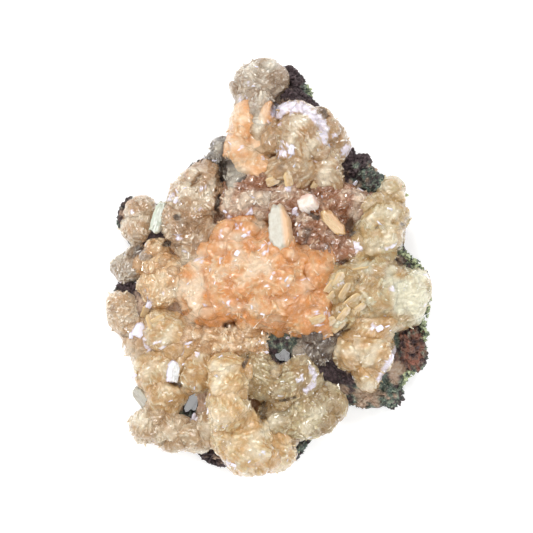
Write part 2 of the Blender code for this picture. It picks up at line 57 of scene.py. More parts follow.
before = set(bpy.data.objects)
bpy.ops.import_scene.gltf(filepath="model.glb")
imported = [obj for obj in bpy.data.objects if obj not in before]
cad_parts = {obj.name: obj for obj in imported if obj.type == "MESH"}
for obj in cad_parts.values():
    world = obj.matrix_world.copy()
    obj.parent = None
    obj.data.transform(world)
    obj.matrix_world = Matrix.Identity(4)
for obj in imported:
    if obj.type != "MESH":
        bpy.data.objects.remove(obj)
SOLID_BOX = [list(corner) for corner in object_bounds()]
BODY = "root"
MM = 0.001

# A lobe's middle, its half sizes along its length, across it and up, the heading of its length, how far its
# far end is lifted, and how much wider the far end is than the near one. Millimetres and degrees.
Lobe = namedtuple("Lobe", "x y z along across up heading lift spread", defaults=(0, 0, 0))

# How the crystals of a growth stand.
#   sheaf: the radius of one sheaf
#   width, thickness: the half width and the half thickness of a plate
#   ragged: how unequal the plates are in length, as a share of the reach
#   gable, roof: the slopes of a plate's tip, in degrees
#   crease: how deep the creases between the sheaves are, as a share of the reach
#   lean: how far the plates lean at random
#   soften: how many times the surface is smoothed
#   fillers: how many small sheaves fill the creases, for each lobe
#   splinter: the area for each splinter, in square millimetres
#   relief: how rough the shading is; below SMOOTH_RELIEF the faces are shaded smooth
#   depth: how deep the gaps between the plates go
Habit = namedtuple(
    "Habit", "sheaf width thickness ragged gable roof crease lean soften fillers splinter relief depth")
SMOOTH_RELIEF = 0.7

# The plates of one lobe, an array for each field with one row for each plate.
Plates = namedtuple("Plates", "normals offsets tips axes pages widths balls radii")

# A closed surface with the values that its material reads, one row for each point.
Surface = namedtuple("Surface", "points triangles values fibre tone rays")

# A single crystal's middle, its half length, half width and half thickness, the heading of its length, and
# how far its far end is lifted and its face is rolled.
Crystal = namedtuple("Crystal", "x y z length width thickness heading lift roll", defaults=(0, 0))

HABITS = {
    "waxy": Habit(5.0, 1.35, 0.45, 0.008, 12, 7, 0.09, 0.08, 0, 1.4, 18, 0.65, 0.20),
    "sheaf": Habit(4.6, 1.20, 0.40, 0.010, 14, 8, 0.09, 0.09, 0, 2, 16, 0.70, 0.26),
    "fine_sheaf": Habit(3.4, 0.90, 0.34, 0.014, 18, 10, 0.11, 0.11, 0, 3, 12, 0.80, 0.28),
    "fan": Habit(6.4, 1.60, 0.50, 0.008, 10, 6, 0.05, 0.07, 0, 1, 16, 0.60, 0.22),
    "blocky": Habit(2.8, 1.10, 0.72, 0.022, 26, 16, 0.12, 0.17, 0, 3, 12, 0.90, 0.50),
    "druse": Habit(1.9, 0.55, 0.40, 0.008, 18, 12, 0.075, 0.12, 2, 0.7, 14, 0.60, 0.20),
    "silky": Habit(4.2, 1.10, 0.38, 0.006, 10, 6, 0.08, 0.07, 1, 2, 22, 0.50, 0.16),
}

GROWTHS = {
    "lower_column": ("cream_gold", "waxy", (
        Lobe(-12.2, -27.9, 21.5, 5.1, 3, 8, 0), Lobe(-11.7, -33.4, 24, 5.2, 4, 10, 10),
        Lobe(-11.6, -40.3, 24, 5.8, 5.3, 11.5, 20), Lobe(-12, -48.4, 18.5, 5, 3.8, 9, 90),
        Lobe(-5.4, -51, 20, 8.1, 6, 10.5, -95, 8, 0.3), Lobe(1.4, -52, 15, 6.2, 5, 9, -60),
    )),
    "central_drift": ("orange", "druse", (
        Lobe(-3.1, -2.6, 17, 17, 13.4, 16, -15), Lobe(-17.6, -6.4, 15, 9, 8, 12, -62),
        Lobe(8.9, -11, 18, 9.2, 7.4, 11.5, -10), Lobe(-8.3, 7.7, 19, 7.2, 5.8, 10, 20),
        Lobe(12.6, -1, 18, 7, 5.8, 11, 70), Lobe(-15.6, -12, 15.5, 6.4, 4.4, 9, -8),
        Lobe(13.2, -15.6, 17, 5.4, 4.2, 9, 0), Lobe(1.2, 4.8, 29.4, 2, 1.6, 3, 30),
        Lobe(4.4, 4.4, 29.2, 2.2, 1.7, 3, -20),
    )),
    "crown": ("olive_cream", "waxy", (
        Lobe(8.9, 37.4, 18, 7.6, 7.4, 11, 65), Lobe(18.2, 37.6, 13.5, 5.2, 3.6, 7.5, -62),
        Lobe(0.8, 36.9, 17, 4, 3.4, 7.5, 10), Lobe(16.2, 28.6, 17, 6.6, 4.6, 8, -82, 0, 0.2),
        Lobe(6, 27.2, 20.5, 6.4, 4.2, 8, 4), Lobe(5.4, 44.9, 21.5, 3.2, 1.5, 5, 25),
        Lobe(10.4, 44.4, 21.5, 3.2, 1.4, 5, -20), Lobe(14.4, 40.4, 20.5, 3.6, 1.5, 5, -58),
    )),
    "right_fan": ("fan_cream", "fan", (
        Lobe(36.8, -8.2, 12, 9, 7.6, 10, -8, 0, 0.25), Lobe(27.6, -6.6, 15, 8.8, 7.6, 11, -20),
        Lobe(19.9, -4.8, 18.5, 5.4, 3.8, 9.5, 70), Lobe(21.2, -13, 16, 5.4, 3.6, 9, 40),
        Lobe(30, -1.6, 16.5, 6.4, 2.6, 8, 8),
    )),
    "middle_fans": ("beige", "sheaf", (
        Lobe(-2.2, -31.3, 17.5, 6.6, 5, 9, -75, 0, 0.2),
        Lobe(7.2, -32.4, 18, 7.2, 5.4, 10, 25, 8, 0.3),
        Lobe(9.2, -43, 16, 9.8, 6, 10, 14, 0, 0.2), Lobe(17.6, -37.6, 11.5, 4.4, 3.6, 7.6, -30),
        Lobe(2.6, -39.6, 14.5, 5, 3.2, 7, 80),
    )),
    "right_ball": ("ball_cream", "waxy", (
        Lobe(31.6, 10.4, 14, 9, 7, 11, 80), Lobe(35, 22.2, 11.5, 3.8, 3.2, 7.5, 60),
        Lobe(26.2, 4.6, 15, 4, 3.2, 8, 50), Lobe(34, 16.6, 13, 4.6, 4.2, 8, 70),
    )),
    "left_domes": ("gold_beige", "waxy", (
        Lobe(-29.4, -18.4, 13.5, 6.2, 5.4, 9.5, -20), Lobe(-32, -29, 11.5, 6.8, 5.6, 8.5, 200, 0, 0.2),
        Lobe(-21, -29.9, 14, 6.2, 4.5, 9.5, 85), Lobe(-29.2, -36.8, 11.5, 5.2, 4.6, 8.5, 10),
        Lobe(-24.6, -23.6, 13, 4.4, 4, 8, 0),
    )),
    "cream_lobes": ("pale_cream", "fine_sheaf", (
        Lobe(-32.3, 5.1, 14, 3, 2.8, 6.5, 0), Lobe(-32.9, 1.6, 14, 3.6, 3.2, 7, 0),
        Lobe(-28.2, 0.4, 15, 2.6, 2.4, 6, 0), Lobe(-30.9, -5.6, 13, 6.2, 5.4, 9.5, 30),
    )),
    "orange_tongue": ("deep_orange", "silky", (
        Lobe(-7.3, 40.6, 13.5, 6.6, 3.7, 8, 80), Lobe(-2, 39.6, 14.2, 6.2, 3.2, 8.5, 85),
        Lobe(-6.3, 30.8, 16.5, 7.6, 4, 8.5, -38, 0, 0.15),
    )),
    "right_lobes": ("gold_beige", "waxy", (
        Lobe(22.6, -24.4, 14, 5, 3.2, 9, 90), Lobe(29.4, -23.8, 13, 6.8, 5.3, 10, -40),
        Lobe(28.2, -31.4, 11, 4.4, 3.4, 8, -70), Lobe(29.8, -16.6, 14, 6, 3.8, 9, 0),
    )),
    "left_shoulder": ("beige_pink", "fine_sheaf", (
        Lobe(-21.8, 18.9, 14, 8.6, 6.6, 9.5, 62), Lobe(-18.8, 24.6, 13, 4.4, 3.8, 8, 30),
        Lobe(-24.2, 12.6, 14, 6.2, 5, 8.5, 20), Lobe(-20.8, 7.2, 13.5, 7, 5.6, 8.5, -10),
    )),
    "top_knob": ("grey_cream", "fine_sheaf", (
        Lobe(-2.9, 52.7, 11, 6.2, 5.8, 7.5, 125, 0, 0.25), Lobe(0.6, 52.9, 10.5, 4.8, 4.2, 7, 60),
        Lobe(-5.6, 48.4, 10.5, 4.4, 3, 6.5, 92), Lobe(-2.2, 45.2, 16.2, 4.2, 3, 7.6, 74),
    )),
    "back_druse": ("brown_mauve", "blocky", (
        Lobe(-6.9, 18.6, 17, 7.2, 5.6, 9, 5), Lobe(5.8, 18.8, 17.5, 7, 5.2, 9, 0),
        Lobe(-4.3, 23.4, 18, 4.4, 3, 8, 10), Lobe(12, 10.8, 17.5, 6, 6, 9.5, 0),
        Lobe(19.6, 5.8, 16, 5.6, 5, 9, -30), Lobe(17, 17.6, 15.5, 6.8, 4.8, 9, 10),
        Lobe(25, 18.6, 14, 4.2, 3.4, 8, -10),
    )),
    "peach_ledge": ("peach", "blocky", (
        Lobe(-13, -21, 13.5, 8.6, 4.8, 8.5, 0), Lobe(-5.6, -21.6, 13.5, 5.4, 4.2, 8, 0),
        Lobe(-20.4, -20.2, 13, 5, 4.2, 7.5, 10),
    )),
    "mauve_lump": ("mauve", "fine_sheaf", (
        Lobe(13.6, -23, 11.5, 6, 4.7, 7.5, 15), Lobe(16.6, -20.2, 12.5, 4, 3, 7, 30),
    )),
    "lower_left_lumps": ("brown_gold", "sheaf", (
        Lobe(-35, -45.4, 9, 4.9, 4.8, 8, 30), Lobe(-29, -46.4, 10.5, 5.2, 3.6, 8, -84, 0, 0.2),
        Lobe(-23, -48.4, 10.5, 5, 3.8, 8, -40), Lobe(-17.8, -46.4, 11, 6, 3.1, 8.5, 86),
    )),
    "left_cluster": ("pink_beige", "fine_sheaf", (
        Lobe(-42.3, -12.8, 8.5, 5.9, 4.6, 8, -75), Lobe(-38.4, -19.2, 8.5, 4, 3.2, 6.5, -50),
        Lobe(-36.8, -22.4, 9, 3.2, 2.6, 7, 70),
    )),
    "left_wedge": ("grey_cream", "fine_sheaf", (
        Lobe(-39, 0.6, 8, 6.2, 3.6, 7, 205, 0, 0.3), Lobe(-36, 2.2, 9.5, 3.6, 2.8, 6, 30),
    )),
    "far_left_balls": ("grey_pink", "fine_sheaf", (
        Lobe(-36, 17.2, 9, 3.6, 3.2, 7, 0), Lobe(-37.8, 11.8, 9, 5, 4.2, 7.5, 60),
    )),
    "grey_lump": ("grey_white", "fine_sheaf", (
        Lobe(-13.8, 31.2, 11, 4.4, 3.6, 7.5, 50), Lobe(-9.8, 26.6, 13, 4.6, 3.2, 7.5, 75),
    )),
}

CRYSTALS = {
    "standing_blade": Crystal(3.2, 10.8, 29, 7.4, 3.4, 2.8, -84, 12, 12),
    "white_block": Crystal(11.1, 18, 25, 2.8, 2.3, 2.3, 24, 16, -30),
    "amber_crystal": Crystal(18.2, 12.6, 24.4, 4.9, 2, 1.6, -47, -10, 8),
    "striped_plate": Crystal(-27.3, -29.7, 19.6, 3.3, 1.9, 1.5, 80, 10, 10),
    "green_white_plate": Crystal(-31.4, 14.3, 17.4, 5, 1.8, 1.6, 72, 4, -14),
    "square_plate": Crystal(-37, -18, 15.6, 2.3, 1.8, 1.1, 60, 8, 12),
    "grey_blade": Crystal(-36.2, -37.5, 11, 4, 1.9, 1.6, -52, 10, 24),
}

# How far each crystal's outline is rounded, from angular to oval.
ROUNDING = {
    "standing_blade": 0.50, "white_block": 0.0, "amber_crystal": 0.0, "striped_plate": 0.0,
    "green_white_plate": 0.1, "square_plate": 0.0, "grey_blade": 0.1,
}

# The crystals with blunt ends.
BLUNT = ("white_block", "striped_plate", "green_white_plate", "square_plate")

# The rock's outline, clockwise from its tip.
ROCK_OUTLINE = (
    (-4.9, 57.4), (-0.3, 58.9), (4, 57.7), (9.7, 51.7), (11.1, 48.3), (14.6, 44.9), (16.9, 40.9),
    (23.1, 33.4), (26.3, 31.4), (33.1, 25.4), (36.3, 24.3), (38, 21.4), (37.1, 17.4), (38.3, 7.7),
    (40.6, 3.4), (45.7, -1.4), (46.8, -6.3), (45.1, -10.3), (44.3, -15.7), (45.4, -19.7),
    (44.6, -24.6), (38, -34.9), (34.6, -39.4), (31.7, -40.9), (21.7, -38.9), (18.6, -39.6),
    (17.4, -42), (12.9, -45.1), (10.6, -49.7), (3.1, -57.6), (-7.1, -57.2), (-10.6, -56.2),
    (-14, -56.3), (-23.7, -51.7), (-27.7, -49.7), (-34.6, -48.3), (-38, -45.7), (-36.6, -41.4),
    (-37.7, -33.7), (-36.9, -28.9), (-37.1, -24.3), (-39.7, -20.3), (-43.1, -17.4), (-45.1, -12.9),
    (-44.6, -7.4), (-41.4, -4.9), (-43.1, 1.4), (-38.6, 4.3), (-42.9, 9.7), (-41.1, 14.9),
    (-38.6, 18.3), (-34.9, 18.8), (-31.4, 18.2), (-28.9, 19.7), (-21.4, 27.7), (-18, 29.7),
    (-16.3, 33.4), (-12.3, 35.1), (-10, 37.4), (-8, 46.3), (-7.4, 55.7),
)

# The slab from the middle of its top out over the rim and back to the middle of its base, as shares of
# the outline with their heights.
ROCK_PROFILE = ((0.0, 16.0), (0.48, 15.0), (0.82, 12.5), (0.98, 8.5), (1.0, 4.5), (0.965, 0.0), (0.0, 0.0))

# Knobs of the rock that stand clear of the crystals.
ROCK_KNOBS = (
    Lobe(25.6, 29.2, 11, 3.6, 2.6, 6.4, 20), Lobe(22.8, 31.6, 11, 2.2, 1.5, 6, 70),
    Lobe(21.4, 28.6, 11.5, 3.4, 1.2, 5.6, 20), Lobe(28.2, 26.6, 10.5, 2.8, 1.9, 6, -20),
    Lobe(9, 46.6, 12, 6.2, 3, 7.5, -38),
    Lobe(6.6, 53.6, 9, 4.6, 2.6, 6, -48), Lobe(30.4, 23.6, 9.5, 4.6, 3, 6, -15),
    Lobe(42.4, -3.8, 8, 5.8, 2.6, 6, -60), Lobe(40.6, -23.2, 8, 6.4, 3.8, 7, -72),
    Lobe(34, -35.6, 7, 5, 3.2, 5.5, -50), Lobe(27, -37.4, 6.5, 6, 2.6, 5, -5),
    Lobe(21, -31, 8, 4, 3.4, 5, -40), Lobe(7.6, -51.6, 6.5, 5, 2.4, 4.6, 48),
    Lobe(-15.6, -54.6, 6, 4.6, 2, 4.4, -22), Lobe(-40.6, -6.4, 7, 3.6, 2.4, 4.6, 20),
    Lobe(-40.6, 15.4, 7, 4.6, 2.2, 5, 70), Lobe(-20.6, 27, 10, 3.6, 2.4, 6.4, 40),
)

# See-through gaps of the rock: middle, half width, half length and heading.
GAPS = ((-22.6, -38.6, 1.9, 3.6, -8), (4.2, -25.7, 2.1, 1.7, 0))

# Places on the rock where it is bare, green, rusty or thinly crusted: middle, half sizes and heading.
BARE_PATCHES = (
    (10, 47, 8, 5, -38), (25, 29.6, 6, 5, 30), (10.5, -24.5, 12, 5, 0),
    (18, -31, 8, 6, -30), (-15, 26, 3.4, 9, 0), (-36, 7, 8, 3.2, 30),
    (-39, -5, 6, 3, 0), (34, 8, 3, 8, 0), (-17, -52, 6, 2.4, -10),
    (-18, -26, 2.4, 2.4, 0), (8, 54, 7, 5, -40), (-8, -17.6, 4, 2.4, 0),
)
GREEN_PATCHES = (
    (44, -4, 5, 12, 0), (38, -28, 8, 12, -30), (32, 24, 7, 4, -20),
    (26, -38, 9, 4, 0), (9, -51, 8, 3.6, 45), (3, -22, 5, 4, 0),
    (11, 51, 2, 1.4, -50), (-24, -43, 3, 3, 0),
)
RUST_PATCHES = ((40.6, -24, 4, 6.4, -10),)
SKIN_PATCHES = ((28, -37.4, 4, 2.6, 0), (36.6, -30, 2.6, 3, 0), (20, -35.6, 2.6, 1.8, 0))

# Places of the strongest glints, painted on the plates there in the pearl colour, with their radius.
GLINTS = (
    (-8.6, 11.4, 1.1), (-6.6, 8.9, 1.2), (-8.9, 4, 1.4), (-13.4, 9.1, 0.9), (-20, 2, 1),
    (-12.6, -10.9, 1), (11.1, -4.3, 1.2), (17.4, -6, 2.2), (31.1, -17, 2.2), (14.9, -14.6, 2),
    (-38.3, -8, 1), (-34.6, -10.3, 1.6), (-30.9, -22.4, 1.4), (-34.6, -23.1, 0.8), (-24.6, -22.3, 2.2),
    (-11.1, -34.3, 1), (-12, -40, 1), (11.1, -31.4, 2.4), (-21.1, -42.9, 1.8), (-11.7, -55.6, 2.2),
    (4.9, 33, 2.4), (16.6, 36.9, 1.1), (15.4, 34.6, 0.9), (21.7, 33.4, 1.6), (-2, 30.9, 0.9),
    (0.3, 41.7, 0.8), (1.1, 46.9, 0.8), (4, 22.6, 1.4), (-12, 15.1, 1.2), (-18.9, 22.6, 1.2),
    (-26, 9.1, 1.1), (-27.7, 19.4, 1.3), (25.7, 4.9, 1.4), (34.3, 6, 0.9), (7.1, 16.3, 0.9),
    (-1.4, 5, 1.6), (24.6, 23.7, 1.4), (-36, -20.6, 1.6), (14, -15.6, 1.4), (19.4, -20.6, 0.9),
)

# The share of the plates that get a painted glint inside such a place, and anywhere.
GLINT_SHARE = 0.55
STRAY_GLINTS = 0.006

# How many crumbs of rock there are, and the smallest and largest radius of one.
CRUMBS = 1500
CRUMB_SIZES = (0.30, 0.85)

# Lines along which pale green crumbs fringe the rock, and how many there are.
FRINGE_LINES = (
    ((37, 5.4, 13), (40.6, 2.6, 13), (44, -1.6, 12), (46, -5.2, 12), (46, -9.4, 12),
     (44.6, -13.4, 11)),
    ((44, -14.6, 10), (44.8, -19.6, 9), (43.8, -24.6, 8), (40.6, -30, 8), (37, -35.6, 7)),
    ((34.6, 25.4, 14), (37.4, 23.4, 14), (38.2, 20.4, 13), (37.4, 16.6, 12), (38.2, 12.4, 12)),
    ((9.6, 52.4, 8), (11.6, 50.4, 9), (12.4, 47.6, 10)),
    ((10.4, -49.2, 8), (7.4, -53.2, 8), (3.6, -56.6, 7)),
)
FRINGE_CRUMBS = 620

# Where crumbs lie on the slab's rim, as shares of its outline and in height, and how far the crumbs of the
# fringe stray from their lines.
RIM_SHARES = (0.955, 0.985)
RIM_HEIGHTS = (4.5, 9.5)
FRINGE_STRAY = (0.45, 0.45, 1.1)

# How much rougher the knobs are than the slab, and the spacing of their points in millimetres.
KNOB_GRAIN = 2.4
KNOB_STEP = 0.30

# The slab: its usual distance from the middle to the rim, how few rows its base gets against its top, the
# height below which its grains fade out, the heights between which its top turns into its side, the height
# and length of its slow waves, and the length and share of its grains in three sizes.
SLAB_RADIUS = 45
BASE_ROWS = 0.25
SMOOTH_FOOT = 3.0
SIDE_HEIGHTS = (11.0, 5.0)
SLAB_WAVES = (0.5, 11.0)
GRAIN_SIZES = ((3.4, 1.3), (1.7, 1.2), (0.9, 0.8))

# Seeds of the rock's fields and draws.
GREEN_SEED = 31
RUST_SEED = 33
BARE_SEED = 35
TOP_SEED = 37
RIM_SEED = 39
GRAIN_SEED = 41
SLAB_SEED = 43
SKIN_SEED = 45
FOOT_SEED = 47
KNOB_SEED = 60
CRUMB_SEED = 90
FRINGE_SEED = 91

# Places where a growth is paler or deeper than its body colour: middle, half sizes, heading, and how much,
# from -1 for the deepest to 1 for the palest.
TONES = (
    (40.4, -8.9, 6.4, 8, 0, 1.3), (33, -6, 5, 3, 20, 0.5), (23.6, -8, 7, 7, 0, -0.6),
    (-1.6, 41.4, 2.8, 8.4, 0, 0.9), (-10, 28, 4, 3.4, -40, 0.5), (-5.1, 0.6, 5.8, 4, 0, 0.9),
    (-12, 8, 4.2, 3, 0, 0.5), (-3, 11.6, 2.6, 2.6, 0, 0.3),
    (8.2, -2.9, 3.6, 3, 0, 0.6), (-22.4, -6.6, 5, 11, 0, 1.1), (3, -10, 4.6, 3.6, 0, -0.4),
    (-17.7, -15.6, 3.6, 4.4, 0, -0.6), (9.2, 7.7, 3, 5.2, 0, -0.8), (14.6, -13, 4.6, 4.2, 0, -0.4),
    (-9, -9, 4, 2.6, 0, -0.5), (2, 3, 3.4, 2.6, 0, -0.3), (-8, -15.6, 5, 2.4, 0, 0.3),
    (-12, -35, 5, 9, 0, 0.4), (-3, -49.4, 3, 6, 10, 0.6), (3.6, -50, 3.4, 6, 0, -0.4),
    (-19.4, 21.4, 4.4, 5.4, 20, 0.4), (-22.8, 10, 5.4, 6, 0, -0.7), (33, 8.6, 5, 6, 0, 0.4),
    (38.4, 8, 2.4, 7, 0, -0.7), (8.9, 40, 4, 4, 0, 0.6), (1.2, 36.6, 4.4, 4.6, 0, -0.8),
    (6.6, 27.2, 5.6, 3, 0, -0.6), (19.6, 37, 3.4, 4.4, 0, -0.6), (16.4, 27, 4, 5, 0, 0.2),
    (-6.6, 19, 8, 5.4, 0, 0.6), (5, 20, 6, 4, 0, 0.3), (16.4, 10, 8, 6, 0, -0.7),
    (17, 18, 7, 4, 0, -0.4),
    (24.4, -24.4, 4, 4, 0, 0.2), (31.6, -16.4, 5, 2.4, 0, -0.4), (-1, 53.4, 4.6, 4.6, 0, 0.4),
    (-5.8, 47.6, 3, 3.4, 0, -0.2), (8, -42, 7, 4.6, 10, 0.2), (-2.4, -30.6, 3.4, 5, 0, -0.2),
    (-30, -16, 4, 3, 0, 0.3), (-33, -29.6, 4, 3, 0, 0.3), (-21, -31, 3.6, 6, 0, -0.2),
    (-28.4, -37.6, 4, 2.6, 0, -0.5), (-42, -12, 3, 4, 0, -0.2), (-30.6, -6, 4.6, 3.6, 0, 0.3),
    (-23, -2, 2, 3, 0, -0.5), (-27, -12, 3, 2, 0, -0.5), (-14, -20, 6, 2, 0, -0.3),
)

# Dark pits and cracks between crystals: middle, half sizes, heading and depth.
PITS = (
    (1.4, 45.2, 3, 1, 75, 3), (3.6, 48.6, 3.4, 1.2, 40, 2.6), (9.4, 49, 4.4, 1.6, -14, 3),
    (14.6, 44.6, 3.4, 1.3, -48, 2.6), (-13.6, 26.4, 4.8, 1.3, 80, 3.4), (-14.6, 18.4, 3, 0.8, 85, 2.4),
    (-11.1, -16.3, 2.4, 1.4, 10, 1.6),
    (-18, -26.2, 1.5, 0.6, 80, 1), (-1.7, -41.6, 3.6, 1.2, 85, 1.8), (30.4, 11.2, 0.8, 0.6, 0, 0.9),
    (32.4, 11.6, 0.7, 0.6, 0, 0.8), (35.2, 12.8, 0.9, 0.7, 40, 0.9), (37.6, 12.2, 0.8, 0.6, 0, 0.8),
    (23.6, 9.8, 1.5, 0.9, 30, 0.9), (-29.2, 6.6, 1.5, 1.1, 60, 1.6), (-38.8, 4.2, 3.4, 1.4, 30, 1.8),
    (-26, 14, 1.2, 0.8, 20, 1.2), (-20.6, 24.8, 2.4, 0.7, 60, 1.4), (2.6, 23.8, 2.6, 0.7, 20, 1.2),
    (12.4, 14.6, 2.4, 0.8, -30, 1.4), (20.6, 1.4, 3.4, 0.8, 10, 1.2), (-23.6, -13, 2.6, 0.7, 30, 1.2),
    (-6.6, -27, 2.2, 0.8, 60, 1.4), (-26.4, -33.4, 2.4, 0.8, -20, 1.4), (20.6, -17.4, 2.6, 0.9, 30, 1.4),
    (5.6, -37.4, 3.4, 0.6, 14, 0.9), (-32.6, 8.4, 2.4, 0.9, 70, 1.6), (37.6, 5.2, 2, 1.4, 60, 1.2),
)

# Pearly bands, a painted reflection: the line they follow, and their half width.
PEARLY_BANDS = (
    (((2.4, 44.4), (4.4, 46.4), (6.6, 45.2), (9, 45.4), (11.4, 44.2), (13.8, 41.8), (15.6, 39.2),
      (15.4, 37.2)), 1.55),
    (((2.6, 44), (4.2, 46.2), (6.4, 45.4)), 2.1),
    (((11.6, -28.6), (13, -30.4), (12.6, -33), (10.4, -35)), 0.7),
    (((38.8, -20.4), (36, -24), (33.6, -28), (31.6, -32)), 0.9),
)

# Small crystals that stand out by themselves: middle, half length, half width, half thickness, heading, lift,
# roll, and how far the middle lies above the growth there.
Shard = namedtuple("Shard", "x y length width thickness heading lift roll proud")
SHARDS = {
    "clear_plates": (
        Shard(17.4, -5.4, 2.4, 1.3, 0.30, 55, 20, 30, 0.5),
        Shard(19.6, -3.4, 2.6, 1.4, 0.28, 62, 16, 24, 0.4),
        Shard(17.6, -8.2, 2.2, 1.1, 0.26, 48, 14, 34, 0.4),
        Shard(21.4, -6.6, 2.8, 1.2, 0.26, 60, 10, 40, 0.3),
        Shard(23.4, -9.4, 3, 1.3, 0.28, 40, 12, 36, 0.3),
        Shard(25.6, -11.6, 2.6, 1.1, 0.26, 36, 10, 30, 0.3),
        Shard(13.8, -14.8, 2.4, 1.3, 0.28, 20, 10, 26, 0.5),
        Shard(16.6, -15.8, 2.8, 1.4, 0.28, 34, 8, 20, 0.4),
        Shard(19.8, -16.8, 2.6, 1.2, 0.26, 40, 14, 30, 0.4),
        Shard(24.6, -1, 3.6, 1, 0.26, 12, 4, 46, 0.4),
        Shard(29, -0.2, 3.4, 0.9, 0.24, 8, 4, 50, 0.4),
        Shard(21.2, -13.2, 2.6, 1.2, 0.26, 50, 10, 28, 0.4),
        Shard(-35.4, -12.6, 2.2, 1.2, 0.3, 70, 20, 24, 0.4),
        Shard(-33.6, -15.6, 2.4, 1.3, 0.28, 110, 10, 20, 0.4),
        Shard(-31.6, -15, 2.2, 1.2, 0.26, 30, 12, 20, 0.4),
        Shard(5.4, 24.8, 2.2, 1.4, 0.3, 100, 10, 20, 0.4),
        Shard(13.4, 23.6, 2, 1.3, 0.3, 60, 10, 20, 0.4),
        Shard(1.2, 24.4, 2.2, 1.4, 0.3, 20, 12, 14, 0.4),
    ),
    "white_plates": (
        Shard(7.4, 16.4, 1, 0.7, 0.5, 30, 20, 10, 0.4),
        Shard(8, 14.9, 0.7, 0.5, 0.4, 80, 20, 10, 0.3),
        Shard(31.4, -17.4, 1.6, 1.2, 0.3, 30, 20, -20, 0.5),
        Shard(15.4, -17.6, 2.4, 0.5, 0.24, 38, 4, 60, 0.4),
        Shard(-34.2, -10.8, 1.5, 1.2, 0.4, 60, 20, 20, 0.4),
        Shard(-39.4, -19.6, 1.4, 0.9, 0.4, 80, 20, 20, 0.5),
        Shard(-23.4, -22, 2.4, 0.5, 0.3, 28, 10, 40, 0.4),
        Shard(-21.6, -43, 1.8, 0.7, 0.4, 76, 10, 30, 0.4),
        Shard(-12, -55.3, 1.6, 0.7, 0.5, 10, 10, 20, 1.5),
        Shard(-10, -56, 1.2, 0.6, 0.4, -20, 10, 20, 1.2),
        Shard(24.6, 23.9, 1.5, 0.7, 0.4, 50, 14, 30, 0.5),
        Shard(22.6, 22, 1.3, 0.5, 0.4, -20, 14, 30, 0.4),
        Shard(5.2, -20.4, 1.2, 0.7, 0.4, 40, 14, 20, 2.4),
        Shard(-1.2, -24.4, 1.6, 0.6, 0.4, 10, 14, 20, 1.8),
        Shard(-26.4, 19, 1.5, 0.7, 0.3, 60, 10, 20, 0.4),
        Shard(3.8, 22.6, 1.4, 0.6, 0.3, -20, 10, 20, 0.4),
        Shard(21.4, 33.4, 1.3, 0.6, 0.3, 80, 10, 30, 0.4),
        Shard(-12.3, 15.6, 1.2, 0.5, 0.3, -30, 10, 30, 0.4),
        Shard(6.3, 33.2, 2, 1.1, 0.3, 80, 10, 10, 0.4),
        Shard(-7, 8.8, 1.2, 0.7, 0.3, 30, 20, 10, 0.4),
        Shard(-9, 3.9, 1.2, 0.9, 0.3, 60, 10, 10, 0.4),
        Shard(-38.6, -31, 1.3, 0.9, 0.6, 40, 10, 10, 0.4),
    ),
}

# The smallest and largest half length, half width and half thickness of the splinters.
SPLINTER_SIZES = ((0.5, 1.2), (0.20, 0.50), (0.06, 0.13))

# The share of the splinters that get a painted glint, how narrow their far end is, how they stand against the
# surface, the shares of their three lengths in the fibres, and how much paler than the growth they are.
SPLINTER_SHINE = 0.11
SPLINTER_PINCH = 0.45
SPLINTER_RISE = 0.55
SPLINTER_TURN = 0.8
SPLINTER_PACE = (0.5, 2.0, 3.0)
SPLINTER_TONE = 0.3

# A box: its corners from -1 to 1, and its triangles, facing outwards.
BOX_CORNERS = [(x, y, z) for x in (-1.0, 1.0) for y in (-1.0, 1.0) for z in (-1.0, 1.0)]
BOX_TRIANGLES = (
    (0, 1, 3), (0, 3, 2), (4, 6, 7), (4, 7, 5), (0, 4, 5), (0, 5, 1),
    (2, 3, 7), (2, 7, 6), (0, 2, 6), (0, 6, 4), (1, 5, 7), (1, 7, 3),
)

# Painted shade in the crevices: what a body colour is multiplied by there, of most growths, the waxy ones
# and the orange ones.
CREVICE_SHADE = (0.70, 0.51, 0.34)
GOLDEN_CREVICE_SHADE = (0.88, 0.64, 0.40)
ORANGE_CREVICE_SHADE = (0.93, 0.70, 0.47)

# How strongly a painted glow, standing for light that has come through the crystals, shows in the crevices,
# and its share at the tips.
CREVICE_GLOW = 0.22
TIP_GLOW = 0.55

# The colour that a body colour is mixed with at the tips of the plates, as painted light, and on pale streaks
# and pale places; the one for fans, and how much.
TIP_COLOUR = (0.94, 0.86, 0.70)
FAN_TIP_COLOUR = (0.90, 0.91, 0.76)
TIP_SHARE = 0.56

# How strong the slow change of tone over every growth is, its length in millimetres, and how much a pit
# deepens the tone.
TONE_DRIFT = 0.68
TONE_LENGTH = 7.5
PIT_TONE = 1.6

# Where a tone, a pit, a pearly band and a patch of the rock fade out, as shares of their half sizes, and
# the height and length of the waves that make the last three ragged.
TONE_EDGE = (0.55, 1.25)
PIT_EDGE = (0.45, 1.15)
BAND_EDGE = (0.75, 1.05)
PATCH_EDGE = (0.85, 1.25)
PIT_RAGS = (0.22, 1.8)
BAND_RAGS = (0.30, 1.6)
PATCH_RAGS = ((0.30, 4.0), (0.16, 1.5))

# Where a point starts and ends to count as standing out, in depths of the gaps between plates, as crowded,
# in millimetres from the next lobe, and as lying in a crease, by the crease's share. They set where the
# painted light on the tips and the painted shade in the crevices fall.
OUT_RANGE = (-1.0, 0.45)
CROWD_RANGE = (-0.1, 2.6)
CREASE_RANGE = (0.45, 1.35)

# Seeds of the fields that all growths share.
TONE_SEED = 71
PIT_SEED = 73
BAND_SEED = 75
NICK_SEED = 81

